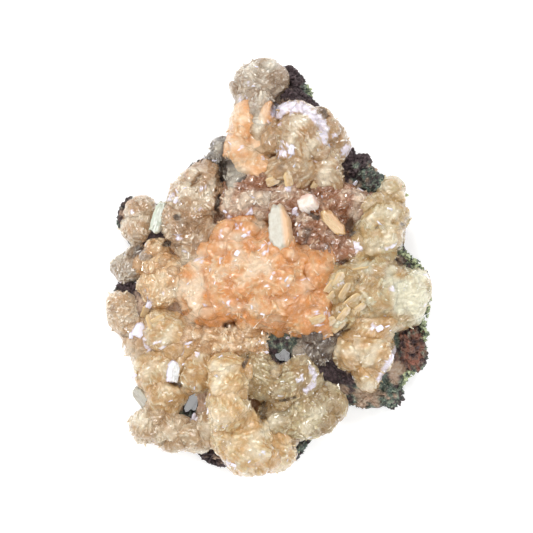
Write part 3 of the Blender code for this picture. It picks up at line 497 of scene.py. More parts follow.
# A single crystal: how many points go round it, where its gables start as a share of its half length, how
# wide its far and near tips are as shares of its half width, how deep its outline is nicked, how far its
# layers are shifted against each other, and how boxy a rounded one is.
CRYSTAL_SIDES = 40
CRYSTAL_SHOULDER = 0.60
POINTED_TIPS = (0.25, 0.35)
BLUNT_TIPS = (0.45, 0.86)
NICKS = 0.09
GROWTH_STEPS = 0.014
CRYSTAL_POWER = 2.4

# The layers of a single crystal from its lower face to its upper one: their height as a share of the half
# thickness, and their size as a share of the outline. The first and last are the middles of the faces.
CRYSTAL_LAYERS = (
    (-1.0, 0.0), (-1.0, 0.84), (-0.8, 0.95), (-0.3, 1.0), (0.3, 1.0), (0.72, 0.96), (0.94, 0.86),
    (1.0, 0.80), (1.0, 0.0),
)

# Height of the rock between the growths, and of the lowest crumbs over the floor.
ROCK_TOP = 13.0
LOWEST_CRUMB = 0.4

# The share of a dome's grid that covers its top, and the angle from straight up that this part reaches.
TOP_SHARE = 0.90
TOP_ANGLE = math.radians(104)

# The fewest and the most points along one side of the grid of a lobe, of a knob and of a crumb.
LOBE_GRID = (20, 190)
KNOB_GRID = (20, 76)
CRUMB_GRID = 5

# How boxy a lobe's outline is, and how much longer and wider it is than its half sizes.
ENVELOPE_POWER = 2.3
LOBE_FULLNESS = 1.08

GOLDEN_ANGLE = math.pi * (3 - math.sqrt(5))

# How many points a side the tiles have in which the reach of the plates is worked out.
TILE = 12

# Evenly spread directions: how far each strays.
CAP_STRAY = 0.07

# Sheaves of a lobe: how many there are for each square of their radius, how far down from straight up they
# go, how far they stray, and how deep their middles lie, in sheaf radii and as a share of the reach.
SHEAF_DENSITY = 0.45
SHEAF_CAP = math.radians(105)
SHEAF_STRAY = 0.10
SHEAF_DEPTHS = (0.9, 1.5)
DEEPEST_SHEAF = 0.8

# Creases: the area of the sheaves' cap on a ball of radius one, how wide a crease is as a share of the
# spacing between sheaves, where it stops getting deeper, and how much of the habit's crease is cut.
CAP_AREA = 7.9
CREASE_WIDTH = 0.62
CREASE_LIMIT = 1.5
CREASE_CUT = 0.5

# Slow and short waves over a lobe: how high they are, as a share of the reach and of the habit's crease, and
# how long.
SLOW_WAVES = (0.065, 6.5)
SHORT_WAVES = (0.28, 2.8)

# Plates of a lobe: how many times over they cover it, how far down from straight up they go, how far their
# tips, the choice of their sheaf and their pages stray, and the smallest and largest share of the habit's
# width and thickness.
PLATE_COVER = 1.5
PLATE_CAP = math.radians(112)
TIP_STRAY = 0.03
CHOICE_STRAY = 0.02
PAGE_STRAY = 0.12
PLATE_SIZES = (0.6, 1.5)

# Below this slope a ray counts as running along a face.
LEVEL = 1e-5

# How far plates may reach past a lobe's outline, as a share of it.
LARGEST_REACH = 1.06

# How fast the fibres change across a plate's face, across its edge and along it, per millimetre, and how far
# the pattern is shifted from one plate to the next.
FIBRE_PACE = (3.2, 1.1, 0.22)
FIBRE_SHIFT = 40

# How far from the place where two lobes meet they start to swell towards each other and how much, how fast
# the part of a lobe that lies inside another one sinks away from its surface, and how deep at most, as a
# share of the reach.
BLEND = 4.4
BLEND_SWELL = 0.25
SINK = 1.3
DEEPEST_SINK = 0.6

# How much painted shade the creases between sheaves get, against the creases between lobes.
CREASE_SHADE = 0.85

# How many fine rays run out from the middle of a lobe, in half turns, and how fast they change along it.
RAY_COUNT = 9.0
RAY_PACE = 0.25

# How near to a side of the solids' box the surface starts to be pressed inward.
EDGE_ROOM = 0.8

# Small sheaves in the creases of a growth: how far apart they stay, how many places are tried for each, how
# near in height two outlines are at a crease and how high it lies at least, and the ranges of their half
# length, half height, width as a share of the length, and height over the crease.
SPACING = 3.0
TRIES = 60
CREASE_STEP = 2.4
LOWEST_CREASE = 12
SMALL_LENGTHS = (2.0, 3.4)
SMALL_WIDTHS = (0.6, 0.95)
SMALL_HEIGHTS = (2.6, 3.8)
SMALL_RISES = (-0.6, 0.9)

# Waves per metre of the clouds, the patches and the speckle in a growth, and of the small cells in it per
# step of its fibres.
CLOUD_SCALE = 260.0
PATCH_SCALE = 420.0
SPECKLE_SCALE = 1700.0
CELL_SCALE = 0.9

# Light that spreads inside the crystals: its weight, how far red, green and blue go, and the distance.
GROWTH_LIGHT = (0.45, (1.0, 0.84, 0.72), 0.8)
CRYSTAL_LIGHT = (0.40, (1.0, 0.80, 0.60), 1.2)

BLACK = (0, 0, 0, 1)

# The small lights: how many, how far from straight overhead they go, how far away and how wide they are.
SPARKS = 14
SPARK_SPREAD = 66
SPARK_DISTANCE = 0.85
SPARK_SIZE = 0.11

# The large soft light: where it hangs and how wide it is, in metres.
KEY_PLACE = (-0.25, 0.35, 0.75)
KEY_SIZE = 0.50

# The floor's half width in millimetres, and how strongly it shines by itself, as a light table does.
FLOOR_HALF = 900.0
FLOOR_GLOW = 0.34

# The point that the camera looks down on, in millimetres.
LOOK_AT = (-0.71, 0.14, 16.0)

ALL_LOBES = [lobe for _, _, lobes in GROWTHS.values() for lobe in lobes]


def linear(red, green, blue):
    """A colour given as three screen values of 0 to 255, as linear light."""
    return tuple(((value / 255 + 0.055) / 1.055) ** 2.4 for value in (red, green, blue))


def tint(name, words, red, green, blue):
    """A colour property whose default is given in screen values."""
    return FloatVectorProperty(
        name=name, description=words, default=linear(red, green, blue), subtype="COLOR", min=0.0, max=1.0,
    )


class SpecimenSizes(bpy.types.PropertyGroup):
    """How finely the specimen is drawn and how rough it is."""

    grid_step: FloatProperty(
        name="Grid step", description="Spacing of the points on a growth", default=0.40 * MM,
        min=0.2 * MM, unit="LENGTH", precision=5,
    )
    rock_sides: IntProperty(
        name="Rock sides", description="Points round the rock's outline", default=480, min=60,
    )
    rock_rows: IntProperty(
        name="Rock rows", description="Points from the rock's middle to its foot", default=100, min=20,
    )
    rock_grain: FloatProperty(
        name="Rock grain", description="Height of the grains on the rock", default=0.34 * MM,
        min=0.0, unit="LENGTH", precision=5,
    )
    seed: IntProperty(name="Seed", description="Starts every random draw", default=5, min=0)


class GrowthColours(bpy.types.PropertyGroup):
    """Body colours of the growths."""

    orange: tint("Orange", "The drusy mound in the middle", 206, 147, 79)
    deep_orange: tint("Deep orange", "The tongue under the tip", 207, 165, 118)
    peach: tint("Peach", "The ledge under the mound", 216, 186, 145)
    cream_gold: tint("Cream gold", "The lower column", 193, 167, 115)
    pale_cream: tint("Pale cream", "The small lobes on the left", 217, 184, 137)
    gold_beige: tint("Gold beige", "The left domes and the lobes under the right fan", 186, 161, 115)
    olive_cream: tint("Olive cream", "The crown", 164, 139, 102)
    ball_cream: tint("Ball cream", "The big ball on the right", 177, 162, 121)
    fan_cream: tint("Fan cream", "The right fan", 172, 151, 102)
    beige: tint("Beige", "The fans beside the lower column", 166, 149, 104)
    beige_pink: tint("Beige pink", "The left shoulder", 191, 167, 138)
    pink_beige: tint("Pink beige", "The cluster on the left edge", 207, 188, 162)
    brown_gold: tint("Brown gold", "The lumps at the lower left", 193, 175, 146)
    brown_mauve: tint("Brown mauve", "The druse behind the mound", 156, 104, 66)
    mauve: tint("Mauve", "The lump beside the dark recess", 74, 50, 44)
    grey_cream: tint("Grey cream", "The tip and the left wedge", 170, 158, 145)
    grey_pink: tint("Grey pink", "The balls at the far left", 202, 182, 158)
    grey_white: tint("Grey white", "The lump beside the crack", 66, 53, 51)


class MineralColours(bpy.types.PropertyGroup):
    """Colours of the rock and of the single crystals."""

    basalt: tint("Basalt", "Bare rock", 100, 82, 85)
    celadonite: tint("Green rind", "Rind on the rock's edges", 84, 100, 94)
    rust: tint("Rust", "The red-brown rock", 134, 86, 70)
    crust: tint("Crust", "The thin crust between the growths", 186, 152, 124)
    # Painted glints: the pale colour that cleavage faces, pearly bands and pale plates get where they glint.
    pearl: tint("Pearl", "Cleavage faces that glint", 232, 228, 246)
    milk: tint("Milk", "The standing blade", 190, 187, 174)
    honey: tint("Honey", "Side of the standing blade", 208, 164, 118)
    rose: tint("Rose", "Side of the white block", 214, 180, 164)
    block: tint("Block", "The white block", 244, 236, 230)
    amber: tint("Amber", "The amber crystal", 218, 184, 130)
    clear: tint("Clear", "The thin plates between the mound and the right fan", 226, 194, 142)
    # The greenish white plate: its own pale colour, with painted reflection where its cleavage face glints.
    frost: tint("Frost", "The greenish white plate", 196, 204, 188)
    ash: tint("Ash", "The grey blade", 176, 172, 160)
    moss: tint("Moss", "The pale green fringe of the rock", 190, 200, 158)


class StageSettings(bpy.types.PropertyGroup):
    """Camera, light and floor."""

    picture_width: FloatProperty(
        name="Picture width", description="Width that the picture covers at the middle of the specimen",
        default=0.1523, unit="LENGTH",
    )
    lens: FloatProperty(name="Lens", description="Focal length", default=240.0, min=20.0, unit="CAMERA")
    sky: FloatProperty(name="Sky", description="Strength of the light from all round", default=0.34, min=0.0)
    key: FloatProperty(name="Key", description="Power of the large soft light", default=2.8, min=0.0)
    spark: FloatProperty(name="Spark", description="Power of each small light", default=0.60, min=0.0)


# Shapes.

def rotation(heading, lift=0.0, roll=0.0):
    """Turns a shape's length to its heading and lifts its far end, in degrees."""
    turned = Euler((0, 0, math.radians(heading))).to_matrix()
    lifted = Euler((0, -math.radians(lift), 0)).to_matrix()
    rolled = Euler((math.radians(roll), 0, 0)).to_matrix()
    return np.array(turned @ lifted @ rolled)


def unit(vectors):
    """Vectors with the same directions and a length of one."""
    return vectors / np.linalg.norm(vectors, axis=-1, keepdims=True)


def smooth(low, high, values):
    """A soft step from 0 at the low value to 1 at the high one."""
    share = np.clip((values - low) / (high - low), 0.0, 1.0)
    return share * share * (3 - 2 * share)


def waves(points, length, seed, count=14):
    """A soft random field of about -1 to 1: the sum of sine waves of one length in many directions."""
    luck = np.random.default_rng(seed)
    ways = unit(luck.normal(size=(count, points.shape[1])))
    turns = luck.uniform(0, 2 * math.pi, count)
    lengths = length * luck.uniform(0.7, 1.4, count)
    field = np.zeros(len(points))
    for way, turn, size in zip(ways, turns, lengths):
        field += np.sin(points @ way * (2 * math.pi / size) + turn)
    usual_peak = 1.6 * math.sqrt(count / 2)
    return field / usual_peak


def rags(points, size, seed):
    """How far a ragged edge strays at each place seen from above, for waves of one height and length."""
    height, length = size
    return height * waves(points[:, :2], length, seed)


def directions_at(tilt, turn):
    """Directions given by their angle from straight up and their turn about it, from +X towards +Y."""
    return np.stack((np.sin(tilt) * np.cos(turn), np.sin(tilt) * np.sin(turn), np.cos(tilt)), axis=-1)


def along_heading(x, y, middle_x, middle_y, heading):
    """How far places lie from a middle along a heading, and to the left of it."""
    turn = math.radians(heading)
    dx, dy = x - middle_x, y - middle_y
    return dx * math.cos(turn) + dy * math.sin(turn), dy * math.cos(turn) - dx * math.sin(turn)


def cell_triangles(a, b, c, d):
    """Two triangles for each cell between four arrays of point numbers, without the flat ones."""
    triangles = np.concatenate((np.stack((a, b, c), axis=-1), np.stack((a, c, d), axis=-1))).reshape(-1, 3)
    whole = (triangles[:, 0] != triangles[:, 1]) & (triangles[:, 1] != triangles[:, 2])
    whole &= triangles[:, 0] != triangles[:, 2]
    return triangles[whole]


def ring_triangles(rows, sides):
    """Triangles between rings of points, where the first and the last ring close up in one point."""
    index = np.arange(rows * sides).reshape(rows, sides)
    index[0, :] = 0
    index[-1, :] = (rows - 1) * sides
    after = np.roll(index, -1, axis=1)
    return cell_triangles(index[:-1], index[1:], after[1:], after[:-1])


def dome_grid(count):
    """Directions on a square grid that wraps a ball, and the triangles between them.

    Rings of the square become circles. They are spread so that the top gets even cells of equal area, the
    outermost rings run down under it, and the edge of the square closes up in one point at the foot.
    """
    line = np.linspace(-1, 1, count)
    u, v = np.meshgrid(line, line, indexing="ij")
    wide = np.abs(u) > np.abs(v)
    ring = np.where(wide, u, v)
    other = np.where(wide, v, u)
    share = np.divide(other, ring, out=np.zeros_like(ring), where=ring != 0) * math.pi / 4
    turn = np.where(wide, share, math.pi / 2 - share)
    turn = turn + np.where(ring < 0, math.pi, 0.0)
    reach = np.abs(ring)
    tilt = 2 * np.arcsin(np.clip(reach / TOP_SHARE, 0, 1) * math.sin(TOP_ANGLE / 2))
    under = np.clip((reach - TOP_SHARE) / (1 - TOP_SHARE), 0, 1)
    tilt = tilt + under * (math.pi - TOP_ANGLE)
    index = np.arange(count * count).reshape(count, count)
    index[0, :] = index[-1, :] = index[:, 0] = index[:, -1] = 0
    triangles = cell_triangles(index[:-1, :-1], index[1:, :-1], index[1:, 1:], index[:-1, 1:])
    return directions_at(tilt, turn), triangles


def envelope(directions, lobe):
    """How far a lobe's outline reaches in each direction: a boxy ellipsoid, wider towards its far end."""
    x, y, z = np.abs(directions).T
    along = lobe.along * LOBE_FULLNESS
    across = lobe.across * LOBE_FULLNESS * (1 + lobe.spread * directions[:, 0])
    total = (x / along) ** ENVELOPE_POWER + (y / across) ** ENVELOPE_POWER
    total += (z / lobe.up) ** ENVELOPE_POWER
    return total ** (-1 / ENVELOPE_POWER)


def gap_to(points, lobe):
    """How far each point lies outside a lobe's outline, measured from its middle: negative inside."""
    local = (points - (lobe.x, lobe.y, lobe.z)) @ rotation(lobe.heading, lobe.lift)
    distance = np.maximum(np.linalg.norm(local, axis=1), 1e-6)
    return distance - envelope(local / distance[:, None], lobe)


def cap_directions(angle, count, luck):
    """Directions spread by the golden angle over a cap of the given half angle, starting from +Y."""
    steps = (np.arange(count) + 0.5) / count
    tilt = np.arccos(1 - steps * (1 - math.cos(angle)))
    turn = np.arange(count) * GOLDEN_ANGLE + math.pi / 2
    return unit(directions_at(tilt, turn) + luck.normal(scale=CAP_STRAY, size=(count, 3)))


def lobe_area(lobe):
    """The area of a lobe's top and half of its sides, as if it were a box."""
    return 4 * lobe.along * lobe.across + 2 * lobe.up * (lobe.along + lobe.across)


def lobe_sheaves(lobe, habit, luck):
    """The middles of a lobe's sheaves, spread over its top and about one sheaf radius under its outline."""
    count = max(3, round(SHEAF_DENSITY * lobe_area(lobe) / habit.sheaf ** 2))
    outward = cap_directions(SHEAF_CAP, count, luck)
    outward = unit(outward + luck.normal(scale=SHEAF_STRAY, size=outward.shape))
    reach = envelope(outward, lobe)
    depth = np.minimum(habit.sheaf * luck.uniform(*SHEAF_DEPTHS, count), DEEPEST_SHEAF * reach)
    return outward, outward * (reach - depth)[:, None]


def creased(directions, lobe, habit, outward, seed):
    """The lobe's outline with a crease where two sheaves meet and waves over it, and the crease's share.

    The crease deepens with the angle to the nearest sheaf's direction, squared.
    """
    outline = envelope(directions, lobe)
    nearest = np.clip((directions @ outward.T).max(axis=1), -1, 1)
    spacing = math.sqrt(CAP_AREA / len(outward)) * CREASE_WIDTH
    share = np.minimum(np.arccos(nearest) / spacing, CREASE_LIMIT) ** 2
    skin = directions * outline[:, None]
    swell = SLOW_WAVES[0] * waves(skin, SLOW_WAVES[1], seed)
    swell += SHORT_WAVES[0] * habit.crease * waves(skin, SHORT_WAVES[1], seed + 1)
    return outline * (1 - CREASE_CUT * habit.crease * share + swell), share


def plate_frames(lobe, habit, outward, middles, seed, luck):
    """Where the tips of a lobe's plates lie, and the directions of their axes, pages and widths.

    Tips are spread evenly over the creased outline. Each plate points away from the middle of the sheaf
    nearest to its tip, and the plates of a sheaf share a page direction, so that they open like a book.
    """
    count = int(PLATE_COVER * lobe_area(lobe) / (4 * habit.width * habit.thickness))
    ways = cap_directions(PLATE_CAP, count, luck)
    ways = unit(ways + luck.normal(scale=TIP_STRAY, size=ways.shape))
    length = creased(ways, lobe, habit, outward, seed)[0] * (1 + habit.ragged * luck.normal(size=count))
    tips = ways * length[:, None]
    closeness = ways @ outward.T + luck.normal(scale=CHOICE_STRAY, size=(count, len(outward)))
    nearest = closeness.argmax(axis=1)
    axes = unit(tips - middles[nearest]) + ways + luck.normal(scale=2 * habit.lean, size=tips.shape)
    axes = unit(axes)
    pages = unit(luck.normal(size=(len(outward), 3)) * (1.0, 1.0, 0.5))[nearest]
    pages = pages + luck.normal(scale=PAGE_STRAY, size=axes.shape)
    pages = unit(pages - axes * (pages * axes).sum(axis=-1, keepdims=True))
    return tips, axes, pages, np.cross(pages, axes)


def sheaf_plates(lobe, habit, outward, middles, seed, luck):
    """The plates of one lobe: each a slab with two gables and two roof slopes at its tip.

    A plate is given as its outward face directions and their distances from the lobe's middle, and as the
    middle and the radius of a ball round it.
    """
    tips, axes, pages, widths = plate_frames(lobe, habit, outward, middles, seed, luck)
    count = len(tips)
    width = habit.width * luck.uniform(*PLATE_SIZES, count)
    thickness = habit.thickness * luck.uniform(*PLATE_SIZES, count)
    gable = math.radians(habit.gable)
    roof = math.radians(habit.roof)
    long = 2.6 * habit.width + 1.2
    flat = np.zeros(count)
    faces = (
        (axes * math.cos(gable) + widths * math.sin(gable), flat),
        (axes * math.cos(gable) - widths * math.sin(gable), flat),
        (axes * math.cos(roof) + pages * math.sin(roof), flat),
        (axes * math.cos(roof) - pages * math.sin(roof), flat),
        (widths, width),
        (-widths, width),
        (pages, thickness),
        (-pages, thickness),
        (-axes, flat + long),
    )
    normals = np.stack([normal for normal, _ in faces], axis=1)
    offsets = np.stack([offset for _, offset in faces], axis=1)
    offsets = offsets + np.einsum("nfk,nk->nf", normals, tips)
    balls = tips - axes * (0.5 * long)
    return Plates(normals, offsets, tips, axes, pages, widths, balls, np.hypot(0.5 * long, width))


def plate_reach(directions, plates):
    """How far the crystals reach in each direction of a grid, and which plate is met there.

    A ray from the lobe's middle leaves a plate at the nearest of its outward faces ahead. The surface is
    the farthest such point over all plates. The grid is worked through in tiles, each against the plates
    whose surrounding ball it can meet.
    """
    far = np.linalg.norm(plates.balls, axis=1)
    toward = plates.balls / far[:, None]
    spread = np.arcsin(np.clip(plates.radii / far, 0, 1))
    count = directions.shape[0]
    reach = np.zeros((count, count))
    chosen = np.zeros((count, count), dtype=int)
    for row in range(0, count, TILE):
        for column in range(0, count, TILE):
            tile = directions[row:row + TILE, column:column + TILE]
            shape = tile.shape[:2]
            rays = tile.reshape(-1, 3)
            centre = unit(rays.mean(axis=0))
            width = np.arccos(np.clip((rays @ centre).min(), -1, 1))
            near = np.flatnonzero(np.arccos(np.clip(toward @ centre, -1, 1)) < spread + width)
            if len(near) == 0:
                continue
            slopes = np.einsum("mk,nfk->mnf", rays, plates.normals[near])
            with np.errstate(divide="ignore", invalid="ignore"):
                distances = plates.offsets[near][None] / slopes
            leave = np.where(slopes > LEVEL, distances, np.inf).min(axis=2)
            enter = np.where(slopes < -LEVEL, distances, -np.inf).max(axis=2)
            met = np.where(leave > np.maximum(enter, 0), leave, 0.0)
            best = met.argmax(axis=1)
            reach[row:row + TILE, column:column + TILE] = met.max(axis=1).reshape(shape)
            chosen[row:row + TILE, column:column + TILE] = near[best].reshape(shape)
    return reach.ravel(), chosen.ravel()


def growth_surface(lobe, habit, step, seed):
    """One lobe as a closed surface, with its shading values.

    Its points are the lobe's middle plus each grid direction times the reach there. The four shading values
    are how far a point stands out, which sets painted light on the tips, a draw for its plate, how close it
    lies to other lobes, which sets painted shade, and its painted glint or pearly band.
    """
    luck = np.random.default_rng(seed)
    size = (lobe.along * lobe.across * lobe.up) ** (1 / 3)
    count = int(np.clip(2 * size * 2 * math.sin(TOP_ANGLE / 2) / (TOP_SHARE * step), *LOBE_GRID))
    directions, triangles = dome_grid(count)
    ways = directions.reshape(-1, 3)
    outward, middles = lobe_sheaves(lobe, habit, luck)
    outline, crease = creased(ways, lobe, habit, outward, seed)
    plates = sheaf_plates(lobe, habit, outward, middles, seed, luck)
    reach, plate = plate_reach(directions, plates)
    core = outline - habit.depth
    covered = reach > core
    reach = np.minimum(np.maximum(reach, core), outline * LARGEST_REACH)
    for _ in range(habit.soften):
        reach = softened(reach.reshape(count, count)).ravel()
    local = ways * reach[:, None]
    turn = rotation(lobe.heading, lobe.lift)
    middle = np.array((lobe.x, lobe.y, lobe.z))
    skin = envelope(ways, lobe)
    gap = room_around((ways * skin[:, None]) @ turn.T + middle, lobe)
    points = local @ turn.T + middle + (ways @ turn.T) * meeting_swell(gap, skin)[:, None]
    pit = pit_share(points)
    points[:, 2] -= pit
    points = pressed(points)
    out = smooth(*OUT_RANGE, (reach - outline) / habit.depth)
    crowd = np.maximum(1 - smooth(*CROWD_RANGE, gap), CREASE_SHADE * smooth(*CREASE_RANGE, crease))
    draw = luck.uniform(size=len(plates.tips))[plate]
    fibre = fibre_places(local, plates, plate, luck)
    glint_painted = glint_painted_plates(plates.tips @ turn.T + middle, luck)[plate] * covered
    pearl = np.maximum(glint_painted, band_share(points))
    values = np.stack((out, draw, crowd, pearl), axis=1)
    tone = tone_at(points) - PIT_TONE * np.minimum(pit, 1.0)
    return Surface(points, triangles, values, fibre, tone, ray_places(ways, local, seed))


def meeting_swell(gap, skin):
    """How far a lobe swells where another one is near, and sinks where it lies inside that one."""
    swell = BLEND_SWELL * BLEND * np.clip(1 - gap / BLEND, 0, 1) ** 2 + SINK * np.minimum(gap, 0)
    return np.maximum(swell, -DEEPEST_SINK * skin)


def fibre_places(local, plates, plate, luck):
    """The coordinates in which the fibres are drawn: fast across each plate and slow along it."""
    shift = luck.uniform(-FIBRE_SHIFT, FIBRE_SHIFT, size=(len(plates.tips), 3))[plate]
    frames = (plates.pages, plates.widths, plates.axes)
    columns = [(local * ways[plate]).sum(axis=1) * pace for ways, pace in zip(frames, FIBRE_PACE)]
    return np.stack(columns, axis=1) + shift


def ray_places(ways, local, seed):
    """The coordinates in which the rays are drawn: the turn about the lobe's middle and the distance."""
    around = ways[:, :2] / np.maximum(np.linalg.norm(ways[:, :2], axis=1), 1e-6)[:, None]
    return np.column_stack((around * RAY_COUNT, RAY_PACE * np.linalg.norm(local, axis=1) + seed % 97))


def glint_painted_plates(tips, luck):
    """Which plates get a painted glint, as 1 or 0: many of those with their tips at a strong glint, and a few
    others.
    """
    shine = np.zeros(len(tips))
    bright = luck.uniform(size=len(tips)) < GLINT_SHARE
    for x, y, radius in GLINTS:
        shine[bright & (np.hypot(tips[:, 0] - x, tips[:, 1] - y) < radius)] = 1.0
    return np.maximum(shine, luck.uniform(size=len(tips)) < STRAY_GLINTS)


def tone_at(points):
    """How pale or deep the growths are at each point: the slow drift and the places in the table."""
    tone = TONE_DRIFT * waves(points, TONE_LENGTH, TONE_SEED)
    for x, y, along, across, heading, amount in TONES:
        tone += amount * (1 - smooth(*TONE_EDGE, oval_distance(points, x, y, along, across, heading)))
    return tone


def oval_distance(points, x, y, along, across, heading):
    """How far points lie from an oval's middle, seen from above, as a share of its size: 1 on its edge."""
    forward, left = along_heading(points[:, 0], points[:, 1], x, y, heading)
    return np.hypot(forward / along, left / across)


def pit_share(points):
    """How deep each point sinks into the pits, in millimetres."""
    depth = np.zeros(len(points))
    ragged = rags(points, PIT_RAGS, PIT_SEED)
    for x, y, along, across, heading, deep in PITS:
        near = oval_distance(points, x, y, along, across, heading)
        depth = np.maximum(depth, deep * (1 - smooth(*PIT_EDGE, near + ragged)))
    return depth


def band_share(points):
    """How much each point belongs to a pearly band of painted reflection: 1 near the line it follows."""
    share = np.zeros(len(points))
    ragged = rags(points, BAND_RAGS, BAND_SEED)
    for line, half_width in PEARLY_BANDS:
        line = np.array(line)
        for start, end in zip(line[:-1], line[1:]):
            along = np.clip((points[:, :2] - start) @ (end - start) / ((end - start) ** 2).sum(), 0, 1)
            gap = np.linalg.norm(points[:, :2] - start - along[:, None] * (end - start), axis=1)
            share = np.maximum(share, 1 - smooth(*BAND_EDGE, gap / half_width + ragged))
    return share


def splinter_frames(outward, luck):
    """The axis, width and page of each splinter: rather flat on the surface, rising towards its far end."""
    aside = unit(np.cross(outward, luck.normal(size=outward.shape)))
    axes = unit(SPLINTER_RISE * outward + aside)
    pages = unit(outward - axes * (outward * axes).sum(axis=1, keepdims=True)
                 + SPLINTER_TURN * np.cross(axes, aside))
    pages = unit(pages - axes * (pages * axes).sum(axis=1, keepdims=True))
    return np.stack((axes, np.cross(pages, axes), pages), axis=1)


def splinters(surfaces, lobes, area_each, seed):
    """Many small pointed plates that stick out of a growth, as one more surface with its values.

    Each sits at a random point of the growth's upper side that is neither in a crevice nor in a pit. It is a
    box of eight corners, pinched at its far end.
    """
    luck = np.random.default_rng(seed)
    points = np.concatenate([surface.points for surface in surfaces])
    outward = np.concatenate([unit(surface.points - (lobe.x, lobe.y, lobe.z - 0.3 * lobe.up))
                              for surface, lobe in zip(surfaces, lobes)])
    crowd = np.concatenate([surface.values[:, 2] for surface in surfaces])
    tone = np.concatenate([surface.tone for surface in surfaces])
    open_points = np.flatnonzero((outward[:, 2] > 0.05) & (crowd < 0.3) & (tone > -1))
    area = sum(4 * lobe.along * lobe.across for lobe in lobes)
    picked = luck.choice(open_points, size=int(area / area_each))
    count = len(picked)
    frames = splinter_frames(outward[picked], luck)
    sizes = np.array([luck.uniform(low, high, count) for low, high in SPLINTER_SIZES]).T
    corners = np.array(BOX_CORNERS)
    corners[:, 1] *= np.where(corners[:, 0] > 0, SPLINTER_PINCH, 1.0)
    local = corners[None] * sizes[:, None]
    shape = np.einsum("nck,nkj->ncj", local, frames) + points[picked][:, None]
    triangles = repeated(np.array(BOX_TRIANGLES), len(corners), count)
    # Painted glints: this share of the splinters gets the pearl colour.
    shine = (luck.uniform(size=count) < SPLINTER_SHINE).astype(float)
    look = np.stack((np.full(count, 0.9), luck.uniform(0.4, 1, count), np.zeros(count), shine), axis=1)
    shift = luck.uniform(-FIBRE_SHIFT, FIBRE_SHIFT, size=(count, 1, 3))
    fibre = (local * SPLINTER_PACE + shift).reshape(-1, 3)
    values = np.repeat(look, len(corners), axis=0)
    pale = np.repeat(tone[picked] + SPLINTER_TONE, len(corners))
    return Surface(pressed(shape.reshape(-1, 3)), triangles, values, fibre, pale, fibre)


def repeated(triangles, points_each, count):
    """The triangles of one shape, repeated for many shapes of so many points each."""
    return (triangles[None] + points_each * np.arange(count)[:, None, None]).reshape(-1, 3)


def softened(grid):
    """A grid of values, each averaged with its four neighbours, which weigh as much as itself together."""
    wide = np.pad(grid, 1, mode="edge")
    return 0.5 * grid + 0.125 * (wide[:-2, 1:-1] + wide[2:, 1:-1] + wide[1:-1, :-2] + wide[1:-1, 2:])


def pressed(points):
    """Points near the sides of the solids' box, pressed softly inward so that none lies beyond it."""
    low, high = np.array(SOLID_BOX) / MM
    low[2] = -EDGE_ROOM
    room = np.minimum((high - points) / EDGE_ROOM, 1)
    points = np.where(room < 1, high - EDGE_ROOM * np.exp(room - 1), points)
    room = np.minimum((points - low) / EDGE_ROOM, 1)
    return np.where(room < 1, low + EDGE_ROOM * np.exp(room - 1), points)


def room_around(points, own):
    """How far each point lies outside the nearest lobe that it doesn't belong to, and 9 where none is near.

    Lobes that can't come as near as 4 mm are passed over.
    """
    closest = np.full(len(points), 9.0)
    low, high = points.min(axis=0) - 4, points.max(axis=0) + 4
    for lobe in ALL_LOBES:
        size = max(lobe.along, lobe.across, lobe.up) * 1.2
        middle = np.array((lobe.x, lobe.y, lobe.z))
        if lobe == own or (middle + size < low).any() or (middle - size > high).any():
            continue
        closest = np.minimum(closest, gap_to(points, lobe))
    return closest


def mesh_object(name, points, triangles, values=None, fibre=None, tone=None, rays=None, rounded=False):
    """A piece made of triangles between points in millimetres, with its shading values kept on the points."""
    used, numbers = np.unique(triangles, return_inverse=True)
    numbers = numbers.reshape(-1).astype(np.int32)
    points = points[used]
    mesh = bpy.data.meshes.new(name)
    mesh.vertices.add(len(points))
    mesh.vertices.foreach_set("co", (points * MM).astype(np.float32).ravel())
    mesh.loops.add(len(numbers))
    mesh.loops.foreach_set("vertex_index", numbers)
    mesh.polygons.add(len(numbers) // 3)
    mesh.polygons.foreach_set("loop_start", np.arange(0, len(numbers), 3, dtype=np.int32))
    mesh.polygons.foreach_set("use_smooth", np.full(len(numbers) // 3, rounded))
    mesh.update(calc_edges=True)
    mesh.validate()
    if values is not None:
        layer = mesh.attributes.new("growth", "FLOAT_COLOR", "POINT")
        layer.data.foreach_set("color", values[used].astype(np.float32).ravel())
    for label, vectors in (("fibre", fibre), ("rays", rays)):
        if vectors is not None:
            layer = mesh.attributes.new(label, "FLOAT_VECTOR", "POINT")
            layer.data.foreach_set("vector", vectors[used].astype(np.float32).ravel())
    if tone is not None:
        layer = mesh.attributes.new("tone", "FLOAT", "POINT")
        layer.data.foreach_set("value", tone[used].astype(np.float32))
    piece = bpy.data.objects.new(name, mesh)
    bpy.context.scene.collection.objects.link(piece)
    return piece


def joined_surfaces(surfaces):
    """Several closed surfaces as one list of points and triangles with their values."""
    starts = np.cumsum([0] + [len(points) for points, *_ in surfaces[:-1]])
    triangles = np.concatenate([faces + start for start, (_, faces, *_) in zip(starts, surfaces)])
    columns = [np.concatenate(part) for part in zip(*[(surface[0], *surface[2:]) for surface in surfaces])]
    return columns[0], triangles, *columns[1:]


def top_height(x, y, lobe):
    """Height of a lobe's outline over each place, or a low number beside it."""
    forward, left = along_heading(x, y, lobe.x, lobe.y, lobe.heading)
    along = np.abs(forward) / (lobe.along * LOBE_FULLNESS)
    across = np.abs(left) / (lobe.across * LOBE_FULLNESS)
    inside = 1 - along ** ENVELOPE_POWER - across ** ENVELOPE_POWER
    height = lobe.z + lobe.up * np.maximum(inside, 0) ** (1 / ENVELOPE_POWER)
    return np.where(inside > 0, height, -9.0)


